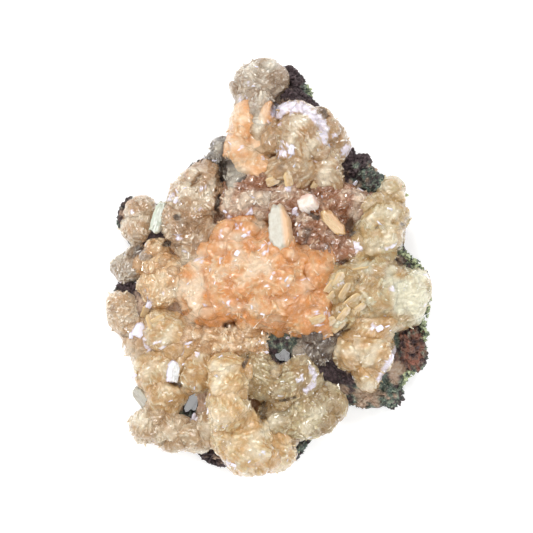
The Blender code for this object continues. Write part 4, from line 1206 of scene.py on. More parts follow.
def small_sheaves(lobes, count, seed):
    """Small lobes for the creases of a growth.

    Of many random places, those are taken where the highest outline and the next one are at nearly the
    same height, or where no outline stands high, at least one spacing apart. Each lobe sits a little under
    the surface there.
    """
    luck = np.random.default_rng(seed)
    middles = np.array([(lobe.x, lobe.y) for lobe in lobes])
    reach = np.array([lobe.along for lobe in lobes])
    pick = luck.integers(len(lobes), size=TRIES * count)
    turn = luck.uniform(0, 2 * math.pi, len(pick))
    away = luck.uniform(0.6, 1.25, len(pick)) * reach[pick]
    x = middles[pick, 0] + away * np.cos(turn)
    y = middles[pick, 1] + away * np.sin(turn)
    heights = np.sort([top_height(x, y, lobe) for lobe in ALL_LOBES], axis=0)
    own = np.max([top_height(x, y, lobe) for lobe in lobes], axis=0)
    crease = (heights[-1] - heights[-2] < CREASE_STEP) & (own > 0) & (heights[-1] > LOWEST_CREASE)
    kept = []
    for place in np.flatnonzero(crease):
        if len(kept) < count and all(math.hypot(x[place] - x[k], y[place] - y[k]) > SPACING for k in kept):
            kept.append(place)
    small = []
    for place in kept:
        along = luck.uniform(*SMALL_LENGTHS)
        across = along * luck.uniform(*SMALL_WIDTHS)
        up = luck.uniform(*SMALL_HEIGHTS)
        top = heights[-1][place] + luck.uniform(*SMALL_RISES)
        small.append(Lobe(x[place], y[place], top - up, along, across, up, luck.uniform(0, 360)))
    return small


def growth_piece(name, lobes, habit, step, seed):
    """All lobes of one growth in one mesh."""
    lobes = [*lobes, *small_sheaves(lobes, round(habit.fillers * len(lobes)), seed)]
    surfaces = [growth_surface(lobe, habit, step, seed + 17 * number) for number, lobe in enumerate(lobes)]
    surfaces.append(splinters(surfaces, lobes, habit.splinter, seed + 7))
    return mesh_object(name, *joined_surfaces(surfaces), rounded=habit.relief < SMOOTH_RELIEF)


def finish_piece(piece, surface, node=None):
    """Gives a piece its material, lets it ride on the specimen, and hides any solid it stands for."""
    piece.data.materials.clear()
    piece.data.materials.append(surface)
    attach(piece, BODY)
    if node:
        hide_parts(node)


# Materials.

def node_group(name, inputs, outputs):
    """An empty shader group with named sockets, as (name, kind, default) rows."""
    group = bpy.data.node_groups.new(name, "ShaderNodeTree")
    for label, kind, value in inputs:
        socket = group.interface.new_socket(label, in_out="INPUT", socket_type=kind)
        socket.default_value = value
    for label, kind in outputs:
        group.interface.new_socket(label, in_out="OUTPUT", socket_type=kind)
    return group, group.nodes.new("NodeGroupInput"), group.nodes.new("NodeGroupOutput")


def add_node(tree, kind, **settings):
    """A new node with its settings."""
    node = tree.nodes.new(kind)
    for name, value in settings.items():
        setattr(node, name, value)
    return node


def fill(node, values):
    """Fills a node's inputs, by name or number: a socket is linked, and any other value is set."""
    for name, value in values.items():
        if isinstance(value, bpy.types.NodeSocket):
            node.id_data.links.new(value, node.inputs[name])
        else:
            node.inputs[name].default_value = value


def mix_colours(tree, factor, first, second, blend="MIX"):
    """A colour mix; each of the three may be a socket or a value."""
    node = add_node(tree, "ShaderNodeMix", data_type="RGBA", blend_type=blend)
    fill(node, {0: factor, 6: first, 7: second})
    return node.outputs[2]


def maths(tree, operation, *values, clamp=False):
    """A maths node; each value may be a socket or a number."""
    node = add_node(tree, "ShaderNodeMath", operation=operation, use_clamp=clamp)
    fill(node, dict(enumerate(values)))
    return node.outputs[0]


def vector_maths(tree, operation, first, second):
    """A vector maths node; the second value may be a socket or three numbers."""
    node = add_node(tree, "ShaderNodeVectorMath", operation=operation)
    fill(node, {0: first, 1: second})
    return node.outputs["Value" if operation == "DOT_PRODUCT" else "Vector"]


def attribute(tree, name):
    """The values kept on the points under a name."""
    return add_node(tree, "ShaderNodeAttribute", attribute_name=name)


def object_place(tree):
    """Places on the object, in metres."""
    return add_node(tree, "ShaderNodeTexCoord").outputs["Object"]


def split_colour(tree, colour):
    """The three parts of a colour, as sockets."""
    node = add_node(tree, "ShaderNodeSeparateColor")
    fill(node, {0: colour})
    return node.outputs


def noise(tree, vector, scale, detail=2.0, roughness=0.5):
    """Noise with so many waves for each unit of the vector."""
    node = add_node(tree, "ShaderNodeTexNoise")
    fill(node, {"Vector": vector, "Scale": scale, "Detail": detail, "Roughness": roughness})
    return node.outputs["Fac"]


def stretch(tree, value, low, high, to_low=0.0, to_high=1.0):
    """A value stretched from one range to another, and held at its ends."""
    node = add_node(tree, "ShaderNodeMapRange", clamp=True)
    fill(node, dict(enumerate((value, low, high, to_low, to_high))))
    return node.outputs[0]


# What the shading of a growth is worked out from. Each field is a socket.
Fields = namedtuple("Fields", "out draw crowd pearl tone streaks rays clouds patches speckle chance facet")


def growth_fields(tree):
    """The point values of a growth, streaks along its plates, rays, small cells, and noise in space.

    The cells have a chance each, as three draws, and a facet, which leans a different way in each.
    """
    growth = attribute(tree, "growth")
    out, draw, crowd = split_colour(tree, growth.outputs["Color"])
    fibre = attribute(tree, "fibre").outputs["Vector"]
    place = object_place(tree)
    cells = add_node(tree, "ShaderNodeTexVoronoi")
    fill(cells, {"Vector": fibre, "Scale": CELL_SCALE})
    away = vector_maths(tree, "SUBTRACT", fibre, cells.outputs["Position"])
    lean = vector_maths(tree, "SUBTRACT", cells.outputs["Color"], (0.5, 0.5, 0.5))
    return Fields(
        out, draw, crowd, growth.outputs["Alpha"],
        tone=attribute(tree, "tone").outputs["Fac"],
        streaks=noise(tree, fibre, 1.0, 3.0, 0.6),
        rays=noise(tree, attribute(tree, "rays").outputs["Vector"], 1.0, 3.0, 0.6),
        clouds=noise(tree, place, CLOUD_SCALE, 4.0, 0.6),
        patches=noise(tree, place, PATCH_SCALE, 2.0, 0.5),
        speckle=noise(tree, place, SPECKLE_SCALE, 2.0, 0.6),
        chance=split_colour(tree, cells.outputs["Color"]),
        facet=vector_maths(tree, "DOT_PRODUCT", away, lean),
    )


def crevice_shade_share(tree, fields):
    """How much painted shade a place gets as a crevice: crowded, or deep between the plates, in uneven
    clouds.
    """
    deep = maths(tree, "SUBTRACT", 0.75, fields.out)
    crevice_shade = maths(tree, "MAXIMUM", maths(tree, "MULTIPLY", fields.crowd, 1.25), deep)
    return maths(tree, "ADD", crevice_shade, stretch(tree, fields.clouds, 0.36, 0.64, -0.35, 0.45), clamp=True)


def body_colour(tree, given, fields, crevice_shade):
    """The body colour, with painted shade in crevices, paler or deeper by the tone, painted light at the
    tips, and pale on streaks.
    """
    body, crevice, tip = (given.outputs[name] for name in ("Body", "Crevice", "Tip"))
    deeper = maths(tree, "MULTIPLY", fields.tone, -0.75, clamp=True)
    paler = maths(tree, "MULTIPLY", fields.tone, 0.90, clamp=True)
    colour = mix_colours(tree, crevice_shade, body, crevice)
    colour = mix_colours(tree, deeper, colour, crevice)
    colour = mix_colours(tree, paler, colour, tip)
    in_pit = stretch(tree, fields.tone, -1.1, -1.9, 0.0, 0.9)
    colour = mix_colours(tree, in_pit, colour, given.outputs["Dark"])
    # Painted light: paler where a plate's tip stands out, in patches.
    high = maths(tree, "MULTIPLY", fields.out, stretch(tree, fields.draw, 0.3, 1.0, 0.0, 0.8))
    high = maths(tree, "MULTIPLY", high, stretch(tree, fields.patches, 0.40, 0.62, 0.15, 1.0))
    colour = mix_colours(tree, high, colour, tip)
    lines = stretch(tree, fields.streaks, 0.40, 0.64)
    lines = maths(tree, "MULTIPLY", lines, given.outputs["Streaks"])
    return mix_colours(tree, lines, colour, tip)


def grain_shade(tree, fields):
    """A grey that the colour is multiplied by: speckle, streaks, cells, rays and painted shade in the crowded
    crevices.
    """
    shade = maths(tree, "MULTIPLY", stretch(tree, fields.speckle, 0.32, 0.68, 0.88, 1.07),
                  stretch(tree, fields.streaks, 0.30, 0.55, 0.91, 1.03))
    for value, low, high, to_low, to_high in (
        (fields.chance[0], 0.0, 1.0, 0.88, 1.08),
        (fields.rays, 0.38, 0.60, 0.86, 1.07),
        (fields.crowd, 0.70, 1.0, 1.0, 0.72),
    ):
        shade = maths(tree, "MULTIPLY", shade, stretch(tree, value, low, high, to_low, to_high))
    return join_grey(tree, shade)


def with_painted_glints(tree, given, fields, colour):
    """The colour with painted glints: bright sparks in a few cells, and pearly cleavage faces as painted
    reflection.
    """
    spark = maths(tree, "MULTIPLY", stretch(tree, fields.chance[1], 0.945, 0.955),
                  stretch(tree, fields.out, 0.3, 0.8))
    colour = mix_colours(tree, maths(tree, "MULTIPLY", spark, 0.8), colour, (0.96, 0.93, 0.88, 1))
    sheen = maths(tree, "MULTIPLY", fields.pearl, stretch(tree, fields.chance[0], 0.05, 0.45, 0.45, 1.0))
    return mix_colours(tree, sheen, colour, given.outputs["Pearl"])


def crystal_height(tree, fields):
    """The height of the fine relief: streaks, speckle, leaning facets and rays."""
    height = maths(tree, "ADD", maths(tree, "MULTIPLY", fields.streaks, 0.25),
                   maths(tree, "MULTIPLY", fields.speckle, 0.12))
    for value, share in ((fields.facet, 0.9), (fields.rays, 0.45)):
        height = maths(tree, "ADD", height, maths(tree, "MULTIPLY", value, share))
    return height


def painted_glow(tree, given, fields, crevice_shade):
    """A painted glow for the light that comes through: pale at tips and pale places, warm in crevices, none
    in the pits.
    """
    pale = mix_colours(tree, TIP_GLOW, BLACK, given.outputs["Tip"])
    warm = mix_colours(tree, crevice_shade, pale, given.outputs["Crevice"])
    warm = mix_colours(tree, stretch(tree, fields.tone, 0.4, 1.0, 0.0, 0.8), warm, pale)
    return mix_colours(tree, stretch(tree, fields.tone, -0.7, -1.2), warm, BLACK)


def crystal_tone_group():
    """Colour with painted shade, light and glints, roughness, height and a painted glow over a growth, from
    its body colour and the colours around it.
    """
    found = bpy.data.node_groups.get("Crystal tone")
    if found:
        return found
    tree, given, result = node_group("Crystal tone", (
        ("Body", "NodeSocketColor", (0.8, 0.6, 0.4, 1)),
        ("Crevice", "NodeSocketColor", (0.5, 0.3, 0.2, 1)),
        ("Tip", "NodeSocketColor", (0.9, 0.8, 0.7, 1)),
        ("Pearl", "NodeSocketColor", (1, 1, 1, 1)),
        ("Streaks", "NodeSocketFloat", 0.5),
        ("Grain", "NodeSocketFloat", 1.0),
        ("Dark", "NodeSocketColor", (0.12, 0.08, 0.065, 1)),
    ), (
        ("Color", "NodeSocketColor"),
        ("Roughness", "NodeSocketFloat"),
        ("Height", "NodeSocketFloat"),
        ("Glow", "NodeSocketColor"),
    ))
    fields = growth_fields(tree)
    crevice_shade = crevice_shade_share(tree, fields)
    colour = body_colour(tree, given, fields, crevice_shade)
    shaded = mix_colours(tree, 1.0, colour, grain_shade(tree, fields), "MULTIPLY")
    colour = mix_colours(tree, given.outputs["Grain"], colour, shaded)
    fill(result, {
        "Color": with_painted_glints(tree, given, fields, colour),
        "Roughness": stretch(tree, fields.chance[2], 0.0, 1.0, 0.05, 0.28),
        "Height": crystal_height(tree, fields),
        "Glow": painted_glow(tree, given, fields, crevice_shade),
    })
    return tree


def join_grey(tree, value):
    """A grey with the given value in all its parts."""
    node = add_node(tree, "ShaderNodeCombineColor")
    fill(node, {0: value, 1: value, 2: value})
    return node.outputs[0]


def plain_material(name):
    """A new material with its node tree and its main shader."""
    surface = bpy.data.materials.new(name)
    surface.use_nodes = True
    return surface, surface.node_tree, surface.node_tree.nodes["Principled BSDF"]


def bump(tree, height, strength, distance):
    """Relief for a shader, from a height and the depth in millimetres that it stands for."""
    node = add_node(tree, "ShaderNodeBump")
    fill(node, {"Height": height, "Strength": strength, "Distance": distance * MM})
    return node.outputs[0]


def inner_light(weight, radius, distance):
    """Shader values for light that spreads inside the crystal, over a distance in millimetres."""
    return {"Subsurface Weight": weight, "Subsurface Radius": radius, "Subsurface Scale": distance * MM}


def mixed(first, second, share):
    """Three numbers on the way from the first to the second."""
    return tuple(a + (b - a) * share for a, b in zip(first, second))


def growth_material(name, body, tip, depth, relief):
    """Translucent stellerite of one body colour, with painted shade in its crevices by the depth's three
    shares.
    """
    surface, tree, shader = plain_material(name)
    tone = add_node(tree, "ShaderNodeGroup", node_tree=crystal_tone_group())
    fill(tone, {
        "Body": (*body, 1),
        "Crevice": (*(part * share for part, share in zip(body, depth)), 1),
        "Tip": (*mixed(body, tip, TIP_SHARE), 1),
        "Pearl": (*bpy.context.scene.mineral_colours.pearl, 1),
        "Streaks": 0.35,
        "Grain": relief,
    })
    fill(shader, {
        "Base Color": tone.outputs["Color"],
        "Roughness": tone.outputs["Roughness"],
        "Normal": bump(tree, tone.outputs["Height"], 1.0, 0.17 * relief),
        # The painted glow, given as emission.
        "Emission Color": tone.outputs["Glow"],
        "Emission Strength": CREVICE_GLOW,
        "Coat Weight": 0.8,
        "Coat Roughness": 0.05,
        **inner_light(*GROWTH_LIGHT),
    })
    return surface


def rock_material():
    """Basalt with its green rind, rusty places and a thin beige crust between the growths."""
    colours = bpy.context.scene.mineral_colours
    surface, tree, shader = plain_material("rough_basalt")
    green, rust, crust = split_colour(tree, attribute(tree, "growth").outputs["Color"])
    place = object_place(tree)
    grains = noise(tree, place, 1300.0, 4.0, 0.65)
    clouds = noise(tree, place, 320.0, 3.0, 0.6)
    dark = (*mixed(colours.basalt, (0, 0, 0), 0.84), 1)
    colour = mix_colours(tree, stretch(tree, grains, 0.35, 0.68), dark, (*colours.basalt, 1))
    pale_green = (*mixed(colours.celadonite, (0.50, 0.56, 0.40), 0.62), 1)
    leaf = mix_colours(tree, stretch(tree, grains, 0.46, 0.62), (*colours.celadonite, 1), pale_green)
    patchy = maths(tree, "MULTIPLY", green, stretch(tree, clouds, 0.40, 0.56))
    colour = mix_colours(tree, patchy, colour, leaf)
    patchy = maths(tree, "MULTIPLY", rust, stretch(tree, clouds, 0.36, 0.56))
    colour = mix_colours(tree, patchy, colour, (*colours.rust, 1))
    pale_crust = (*mixed(colours.crust, (0.8, 0.74, 0.66), 0.4), 1)
    skin = mix_colours(tree, stretch(tree, grains, 0.35, 0.65), (*colours.crust, 1), pale_crust)
    colour = mix_colours(tree, crust, colour, skin)
    fill(shader, {"Base Color": colour, "Roughness": 0.72, "Normal": bump(tree, grains, 0.9, 0.35)})
    return surface


def moss_material():
    """The fringe of the rock: pale green crumbs among dark green ones."""
    colours = bpy.context.scene.mineral_colours
    surface, tree, shader = plain_material("green_crumbs")
    place = object_place(tree)
    clouds = noise(tree, place, 700.0, 3.0, 0.6)
    grains = noise(tree, place, 2200.0, 2.0, 0.6)
    dark = (*mixed(colours.celadonite, (0, 0, 0), 0.35), 1)
    colour = mix_colours(tree, stretch(tree, clouds, 0.38, 0.56), dark, (*colours.moss, 1))
    shade = join_grey(tree, stretch(tree, grains, 0.34, 0.66, 0.74, 1.15))
    colour = mix_colours(tree, 1.0, colour, shade, "MULTIPLY")
    fill(shader, {"Base Color": colour, "Roughness": 0.6, "Normal": bump(tree, grains, 0.6, 0.2)})
    return surface


def crystal_material(name, colour, side, streak=0.35, roughness=0.16, coat=0.4, clearness=0.0):
    """A single glassy or pearly crystal with fine growth lines along it.

    Its body colour turns into the side colour towards its left edge and its far end, seen along its length.
    """
    surface, tree, shader = plain_material(name)
    length, width, _ = split_colour(tree, attribute(tree, "growth").outputs["Color"])
    lines = noise(tree, attribute(tree, "fibre").outputs["Vector"], 1.0, 4.0, 0.65)
    clouds = noise(tree, object_place(tree), 900.0, 3.0, 0.6)
    pale = (*mixed(colour, (0.96, 0.95, 0.93), 0.55), 1)
    dim = 1 - 0.35 * streak
    deep = (*(part * share * dim for part, share in zip(colour, (0.86, 0.80, 0.72))), 1)
    base = mix_colours(tree, stretch(tree, clouds, 0.32, 0.68), deep, (*colour, 1))
    streaks = maths(tree, "MULTIPLY", stretch(tree, lines, 0.40, 0.62), streak)
    base = mix_colours(tree, streaks, base, pale)
    # Painted highlight: paler towards both long edges, where light catches them.
    off_middle = maths(tree, "ABSOLUTE", maths(tree, "SUBTRACT", width, 0.5))
    base = mix_colours(tree, stretch(tree, off_middle, 0.36, 0.46, 0.0, 0.5), base, pale)
    beside = maths(tree, "MAXIMUM", stretch(tree, width, 0.60, 0.78), stretch(tree, length, 0.88, 0.98))
    base = mix_colours(tree, maths(tree, "MULTIPLY", beside, 0.85), base, (*side, 1))
    fill(shader, {
        "Base Color": base,
        "Roughness": stretch(tree, lines, 0.3, 0.7, roughness, roughness + 0.18),
        "Normal": bump(tree, lines, 0.5 * streak + 0.1, 0.12),
        "Transmission Weight": clearness,
        "Coat Weight": coat,
        "Coat Roughness": 0.08,
        **inner_light(*CRYSTAL_LIGHT),
    })
    return surface


def board_material():
    """The floor: a white board that glows a little, with faint clouds."""
    surface, tree, shader = plain_material("white_board")
    cloud = noise(tree, object_place(tree), 4.0)
    base = mix_colours(tree, cloud, (0.90, 0.90, 0.90, 1), (0.93, 0.93, 0.93, 1))
    fill(shader, {
        "Base Color": base, "Roughness": 0.9, "Emission Color": (1, 1, 1, 1), "Emission Strength": FLOOR_GLOW,
    })
    return surface


# Rock.

def patch_share(points, patches, seed):
    """How much each point belongs to the patches: 1 inside one, fading over its ragged edge."""
    ragged = rags(points, PATCH_RAGS[0], seed) + rags(points, PATCH_RAGS[1], seed + 1)
    share = np.zeros(len(points))
    for patch in patches:
        share = np.maximum(share, 1 - smooth(*PATCH_EDGE, oval_distance(points, *patch) + ragged))
    return share


def rock_values(points):
    """The rock's shading values: green rind, rust and thin crust, which leave the foot of its sides bare."""
    above_foot = smooth(3.0, 7.0, points[:, 2] + 1.2 * waves(points, 3.0, FOOT_SEED))
    on_top = smooth(9.5, 12.5, points[:, 2] + 0.8 * waves(points, 5.0, TOP_SEED))
    green = patch_share(points, GREEN_PATCHES, GREEN_SEED)
    rust = above_foot * patch_share(points, RUST_PATCHES, RUST_SEED)
    skin = above_foot * patch_share(points, SKIN_PATCHES, SKIN_SEED)
    bare = np.maximum(patch_share(points, BARE_PATCHES, BARE_SEED), np.maximum(green, rust))
    crust = np.maximum(on_top * (1 - bare), 0.8 * skin)
    rim = 0.6 * (1 - on_top) * smooth(0.1, 0.5, waves(points, 7.0, RIM_SEED))
    green = np.maximum(green * (0.5 + 0.5 * above_foot), rim)
    return np.stack((green, rust, crust, np.zeros(len(points))), axis=1)


def grains(points, height, seed):
    """Rounded grains with sharp creases between them, in three sizes."""
    return height * sum(share * (0.5 - np.abs(waves(points, length, seed + number)))
                        for number, (length, share) in enumerate(GRAIN_SIZES))


def slab_surface(sides, rows, grain):
    """The slab: rows of points from the middle of its top over the rim to the middle of its base.

    In each direction round the origin the profile is scaled to the outline's distance there, which runs
    straight between the outline's corners. Grains lift the surface along its slope, and not at the foot.
    """
    outline = np.array(ROCK_OUTLINE)
    angles = np.arctan2(outline[:, 1], outline[:, 0])
    order = np.argsort(angles)
    turn = np.linspace(-math.pi, math.pi, sides, endpoint=False)
    distance = np.interp(turn, angles[order], np.hypot(*outline[order].T), period=2 * math.pi)
    profile = np.array(ROCK_PROFILE)
    run = np.hypot(np.diff(profile[:, 0]) * SLAB_RADIUS, np.diff(profile[:, 1]))
    run[-1] *= BASE_ROWS
    length = np.concatenate(((0.0,), np.cumsum(run)))
    steps = np.linspace(0, length[-1], rows)
    share = np.interp(steps, length, profile[:, 0])
    height = np.interp(steps, length, profile[:, 1])
    x = np.outer(share, distance * np.cos(turn))
    y = np.outer(share, distance * np.sin(turn))
    z = np.repeat(height[:, None], sides, axis=1)
    points = np.stack((x, y, z), axis=-1).reshape(-1, 3)
    lift = grains(points, grain, GRAIN_SEED) + SLAB_WAVES[0] * waves(points, SLAB_WAVES[1], SLAB_SEED)
    lift *= np.clip(points[:, 2] / SMOOTH_FOOT, 0, 1)
    steep = smooth(*SIDE_HEIGHTS, points[:, 2])
    side = points[:, :2] / np.maximum(np.hypot(*points[:, :2].T), 1e-6)[:, None]
    points[:, :2] += side * (np.minimum(lift, 0.0) * steep)[:, None]
    points[:, 2] += lift * (1 - steep)
    return pressed(points), ring_triangles(rows, sides)


def open_gaps(points, triangles):
    """Opens the see-through gaps: points inside an oval go down and out to its edge, which makes its wall."""
    inside = np.zeros(len(points), dtype=bool)
    for x, y, half_width, half_length, heading in GAPS:
        turn = math.radians(heading)
        forward, left = along_heading(points[:, 0], points[:, 1], x, y, heading)
        across, along = forward / half_width, left / half_length
        bearing = np.arctan2(along, across)
        uneven = 1 + 0.16 * np.sin(3 * bearing + x) + 0.10 * np.sin(5 * bearing + y)
        ring = np.hypot(across, along) / uneven
        within = ring < 1
        away = np.maximum(ring, 1e-6)
        out_x, out_y = across / away * half_width, along / away * half_length
        points[within, 0] = (x + out_x * math.cos(turn) - out_y * math.sin(turn))[within]
        points[within, 1] = (y + out_x * math.sin(turn) + out_y * math.cos(turn))[within]
        points[within, 2] = 0.0
        inside |= within
    return points, triangles[~inside[triangles].all(axis=1)]


def knob_surface(knob, step, grain, seed):
    """One knob of the rock: a boxy ellipsoid with grains."""
    size = (knob.along * knob.across * knob.up) ** (1 / 3)
    count = int(np.clip(2 * size * 1.6 / (TOP_SHARE * step), *KNOB_GRID))
    directions, triangles = dome_grid(count)
    flat = directions.reshape(-1, 3)
    reach = envelope(flat, knob)
    middle = np.array((knob.x, knob.y, knob.z))
    turn = rotation(knob.heading, knob.lift)
    points = (flat * reach[:, None]) @ turn.T + middle
    lift = grains(points, KNOB_GRAIN * grain, seed) - 0.9 * grain
    points += (flat @ turn.T) * lift[:, None]
    points[:, 2] = np.maximum(points[:, 2], LOWEST_CRUMB)
    return pressed(points), triangles


def crumbs_surface(knobs, count, seed):
    """Crumbs of rock: half of them on the upper side of the knobs, the others on the rim of the slab."""
    luck = np.random.default_rng(seed)
    lobe = luck.integers(len(knobs), size=count // 2)
    way = unit(luck.normal(size=(count // 2, 3)) + (0, 0, 0.5))
    places = np.array([
        (way[k] * envelope(way[k:k + 1], knobs[n])[0]) @ rotation(knobs[n].heading).T
        + (knobs[n].x, knobs[n].y, knobs[n].z) for k, n in enumerate(lobe)])
    rim = along_line((*ROCK_OUTLINE, ROCK_OUTLINE[0]), luck.uniform(size=count - len(places)))
    rim = rim * luck.uniform(*RIM_SHARES, len(rim))[:, None]
    rim = np.column_stack((rim, luck.uniform(*RIM_HEIGHTS, len(rim))))
    return crumb_balls(np.concatenate((places, rim)), luck)


def along_line(corners, shares):
    """Points on a line of corners, each at its share of the line's length."""
    corners = np.array(corners)
    run = np.concatenate(((0.0,), np.cumsum(np.linalg.norm(np.diff(corners, axis=0), axis=1))))
    return np.stack([np.interp(shares * run[-1], run, column) for column in corners.T], axis=1)


def fringe_surface(count, seed):
    """Crumbs scattered round the fringe lines, as many on each line as its length asks for."""
    luck = np.random.default_rng(seed)
    lengths = np.array([np.linalg.norm(np.diff(line, axis=0), axis=1).sum() for line in FRINGE_LINES])
    counts = np.round(count * lengths / lengths.sum()).astype(int)
    places = [along_line(line, luck.uniform(size=number)) for line, number in zip(FRINGE_LINES, counts)]
    places = np.concatenate(places)
    return crumb_balls(places + luck.normal(scale=FRINGE_STRAY, size=places.shape), luck)


def crumb_balls(places, luck):
    """A small ball at each place, stretched and turned at random."""
    count = len(places)
    directions, faces = dome_grid(CRUMB_GRID)
    ball = directions.reshape(-1, 3)
    sizes = luck.uniform(*CRUMB_SIZES, size=(count, 1)) * luck.uniform(0.6, 1.4, size=(count, 3))
    first = unit(luck.normal(size=(count, 3)))
    second = unit(np.cross(first, luck.normal(size=(count, 3))))
    frames = np.stack((first, second, np.cross(first, second)), axis=1)
    shape = np.einsum("nck,nkj->ncj", ball[None] * sizes[:, None], frames) + places[:, None]
    points = shape.reshape(-1, 3)
    points[:, 2] = np.maximum(points[:, 2], LOWEST_CRUMB)
    return pressed(points), repeated(faces, len(ball), count)


# Single crystals.

def set_crystal(shard, size, depth):
    """A shard enlarged by the size and set into the growth under its middle by the depth."""
    ground = max(float(top_height(np.array([shard.x]), np.array([shard.y]), lobe)[0]) for lobe in ALL_LOBES)
    height = max(ground, ROCK_TOP) + shard.proud - depth
    crystal = Crystal(shard.x, shard.y, height, *[size * measure for measure in shard[2:5]], *shard[5:8])
    points, triangles, values, fibre = tabular_surface(crystal, 0.0, BLUNT_TIPS)
    return pressed(points), triangles, values, fibre


def shard_piece(name, surface, size, depth):
    """Tabular crystals in one mesh, each standing on the growths by itself."""
    piece = mesh_object(name, *joined_surfaces([set_crystal(shard, size, depth) for shard in SHARDS[name]]))
    finish_piece(piece, surface)


def tabular_outline(crystal, rounding, tips):
    """The outline of a tabular crystal, anticlockwise from its far end, and the places along it.

    It is a mix, by the rounding, of an eight-sided outline with gabled ends and an ellipse with a boxy
    middle, a little wider towards its near end and nicked by soft noise.
    """
    length, width = crystal.length, crystal.width
    shoulder = CRYSTAL_SHOULDER * length
    far, near = tips[0] * width, tips[1] * width
    corners = np.array((
        (length, far), (shoulder, width), (-shoulder, width), (-length, near),
        (-length, -near), (-shoulder, -width), (shoulder, -width), (length, -far), (length, far),
    ))
    run = np.concatenate(((0.0,), np.cumsum(np.hypot(*np.diff(corners, axis=0).T))))
    steps = np.linspace(0, run[-1], CRYSTAL_SIDES, endpoint=False)
    angular = np.column_stack((np.interp(steps, run, corners[:, 0]), np.interp(steps, run, corners[:, 1])))
    turn = np.arctan2(angular[:, 1] / width, angular[:, 0] / length)
    total = np.abs(np.cos(turn)) ** CRYSTAL_POWER + np.abs(np.sin(turn)) ** CRYSTAL_POWER
    oval = np.column_stack((length * np.cos(turn), width * np.sin(turn)))
    oval *= (total ** (-1 / CRYSTAL_POWER))[:, None]
    outline = (angular * (1 - rounding) + oval * rounding) * 0.985
    outline[:, 1] *= 1 + 0.22 * rounding * (outline[:, 0] / length - 0.3)
    nicks = np.abs(waves(np.column_stack((steps, steps * 0)), 1.3, NICK_SEED + int(10 * length)))
    return outline * (1 - NICKS * nicks)[:, None], steps


def tabular_surface(crystal, rounding, tips):
    """A tabular crystal: a closed outline repeated at several heights.

    It is full size in the middle heights and drawn in towards both large faces, which bevels their edges.
    Each face is closed by a fan of triangles from its middle. Growth steps shift every layer of the outline
    in and out a little.
    """
    half = crystal.thickness
    outline, steps = tabular_outline(crystal, rounding, tips)
    rings = []
    for row, (level, scale) in enumerate(CRYSTAL_LAYERS):
        jog = 1 + GROWTH_STEPS * np.sin(steps * 2.3 + 1.7 * row) * (0 < scale)
        heights = np.full(CRYSTAL_SIDES, level * half)
        rings.append(np.column_stack((outline * (scale * jog)[:, None], heights)))
    points = np.concatenate(rings)
    triangles = ring_triangles(len(CRYSTAL_LAYERS), CRYSTAL_SIDES)[:, ::-1]
    fibre = points * (0.5, 2.0, 2.0)
    shares = points / (crystal.length, crystal.width, half) * 0.5 + 0.5
    values = np.column_stack((shares, np.ones(len(points))))
    turned = points @ rotation(crystal.heading, crystal.lift, crystal.roll).T
    return turned + (crystal.x, crystal.y, crystal.z), triangles, values, fibre


# Operators.

class SPECIMEN_OT_rock(bpy.types.Operator):
    """Builds the basalt slab and its knobs"""

    bl_idname = "specimen.rock"
    bl_label = "Rock"

    def execute(self, context):
        sizes = context.scene.specimen_sizes
        surface = rock_material()
        points, triangles = slab_surface(sizes.rock_sides, sizes.rock_rows, sizes.rock_grain / MM)
        points, triangles = open_gaps(points, triangles)
        slab = mesh_object("rock_slab", points, triangles, rock_values(points))
        finish_piece(slab, surface, "basalt_matrix")
        knobs = []
        for number, knob in enumerate(ROCK_KNOBS):
            points, triangles = knob_surface(knob, KNOB_STEP, sizes.rock_grain / MM, KNOB_SEED + number)
            knobs.append((points, triangles, rock_values(points)))
        points, triangles = crumbs_surface(ROCK_KNOBS, CRUMBS, CRUMB_SEED)
        knobs.append((points, triangles, rock_values(points)))
        piece = mesh_object("rock_knobs", *joined_surfaces(knobs))
        finish_piece(piece, surface)
        fringe = mesh_object("green_fringe", *fringe_surface(FRINGE_CRUMBS, FRINGE_SEED))
        finish_piece(fringe, moss_material())
        return {"FINISHED"}


class SPECIMEN_OT_growths(bpy.types.Operator):
    """Builds every growth of stellerite out of its lobes"""

    bl_idname = "specimen.growths"
    bl_label = "Stellerite growths"

    def execute(self, context):
        sizes = context.scene.specimen_sizes
        colours = context.scene.growth_colours
        surfaces = {}
        for number, (name, (palette, habit, lobes)) in enumerate(GROWTHS.items()):
            look = f"{palette}_{habit}"
            if look not in surfaces:
                body = tuple(getattr(colours, palette))
                # Painted shade in this growth's crevices: golden for waxy ones and fans, orange for the
                # orange ones.
                depth = GOLDEN_CREVICE_SHADE if habit in ("waxy", "fan") else CREVICE_SHADE
                depth = ORANGE_CREVICE_SHADE if "orange" in palette else depth
                tip = FAN_TIP_COLOUR if habit == "fan" else TIP_COLOUR
                surfaces[look] = growth_material(look, body, tip, depth, HABITS[habit].relief)
            seed = 1000 * sizes.seed + 101 * number
            piece = growth_piece(name + "_crystals", lobes, HABITS[habit], sizes.grid_step / MM, seed)
            finish_piece(piece, surfaces[look], name)
        return {"FINISHED"}


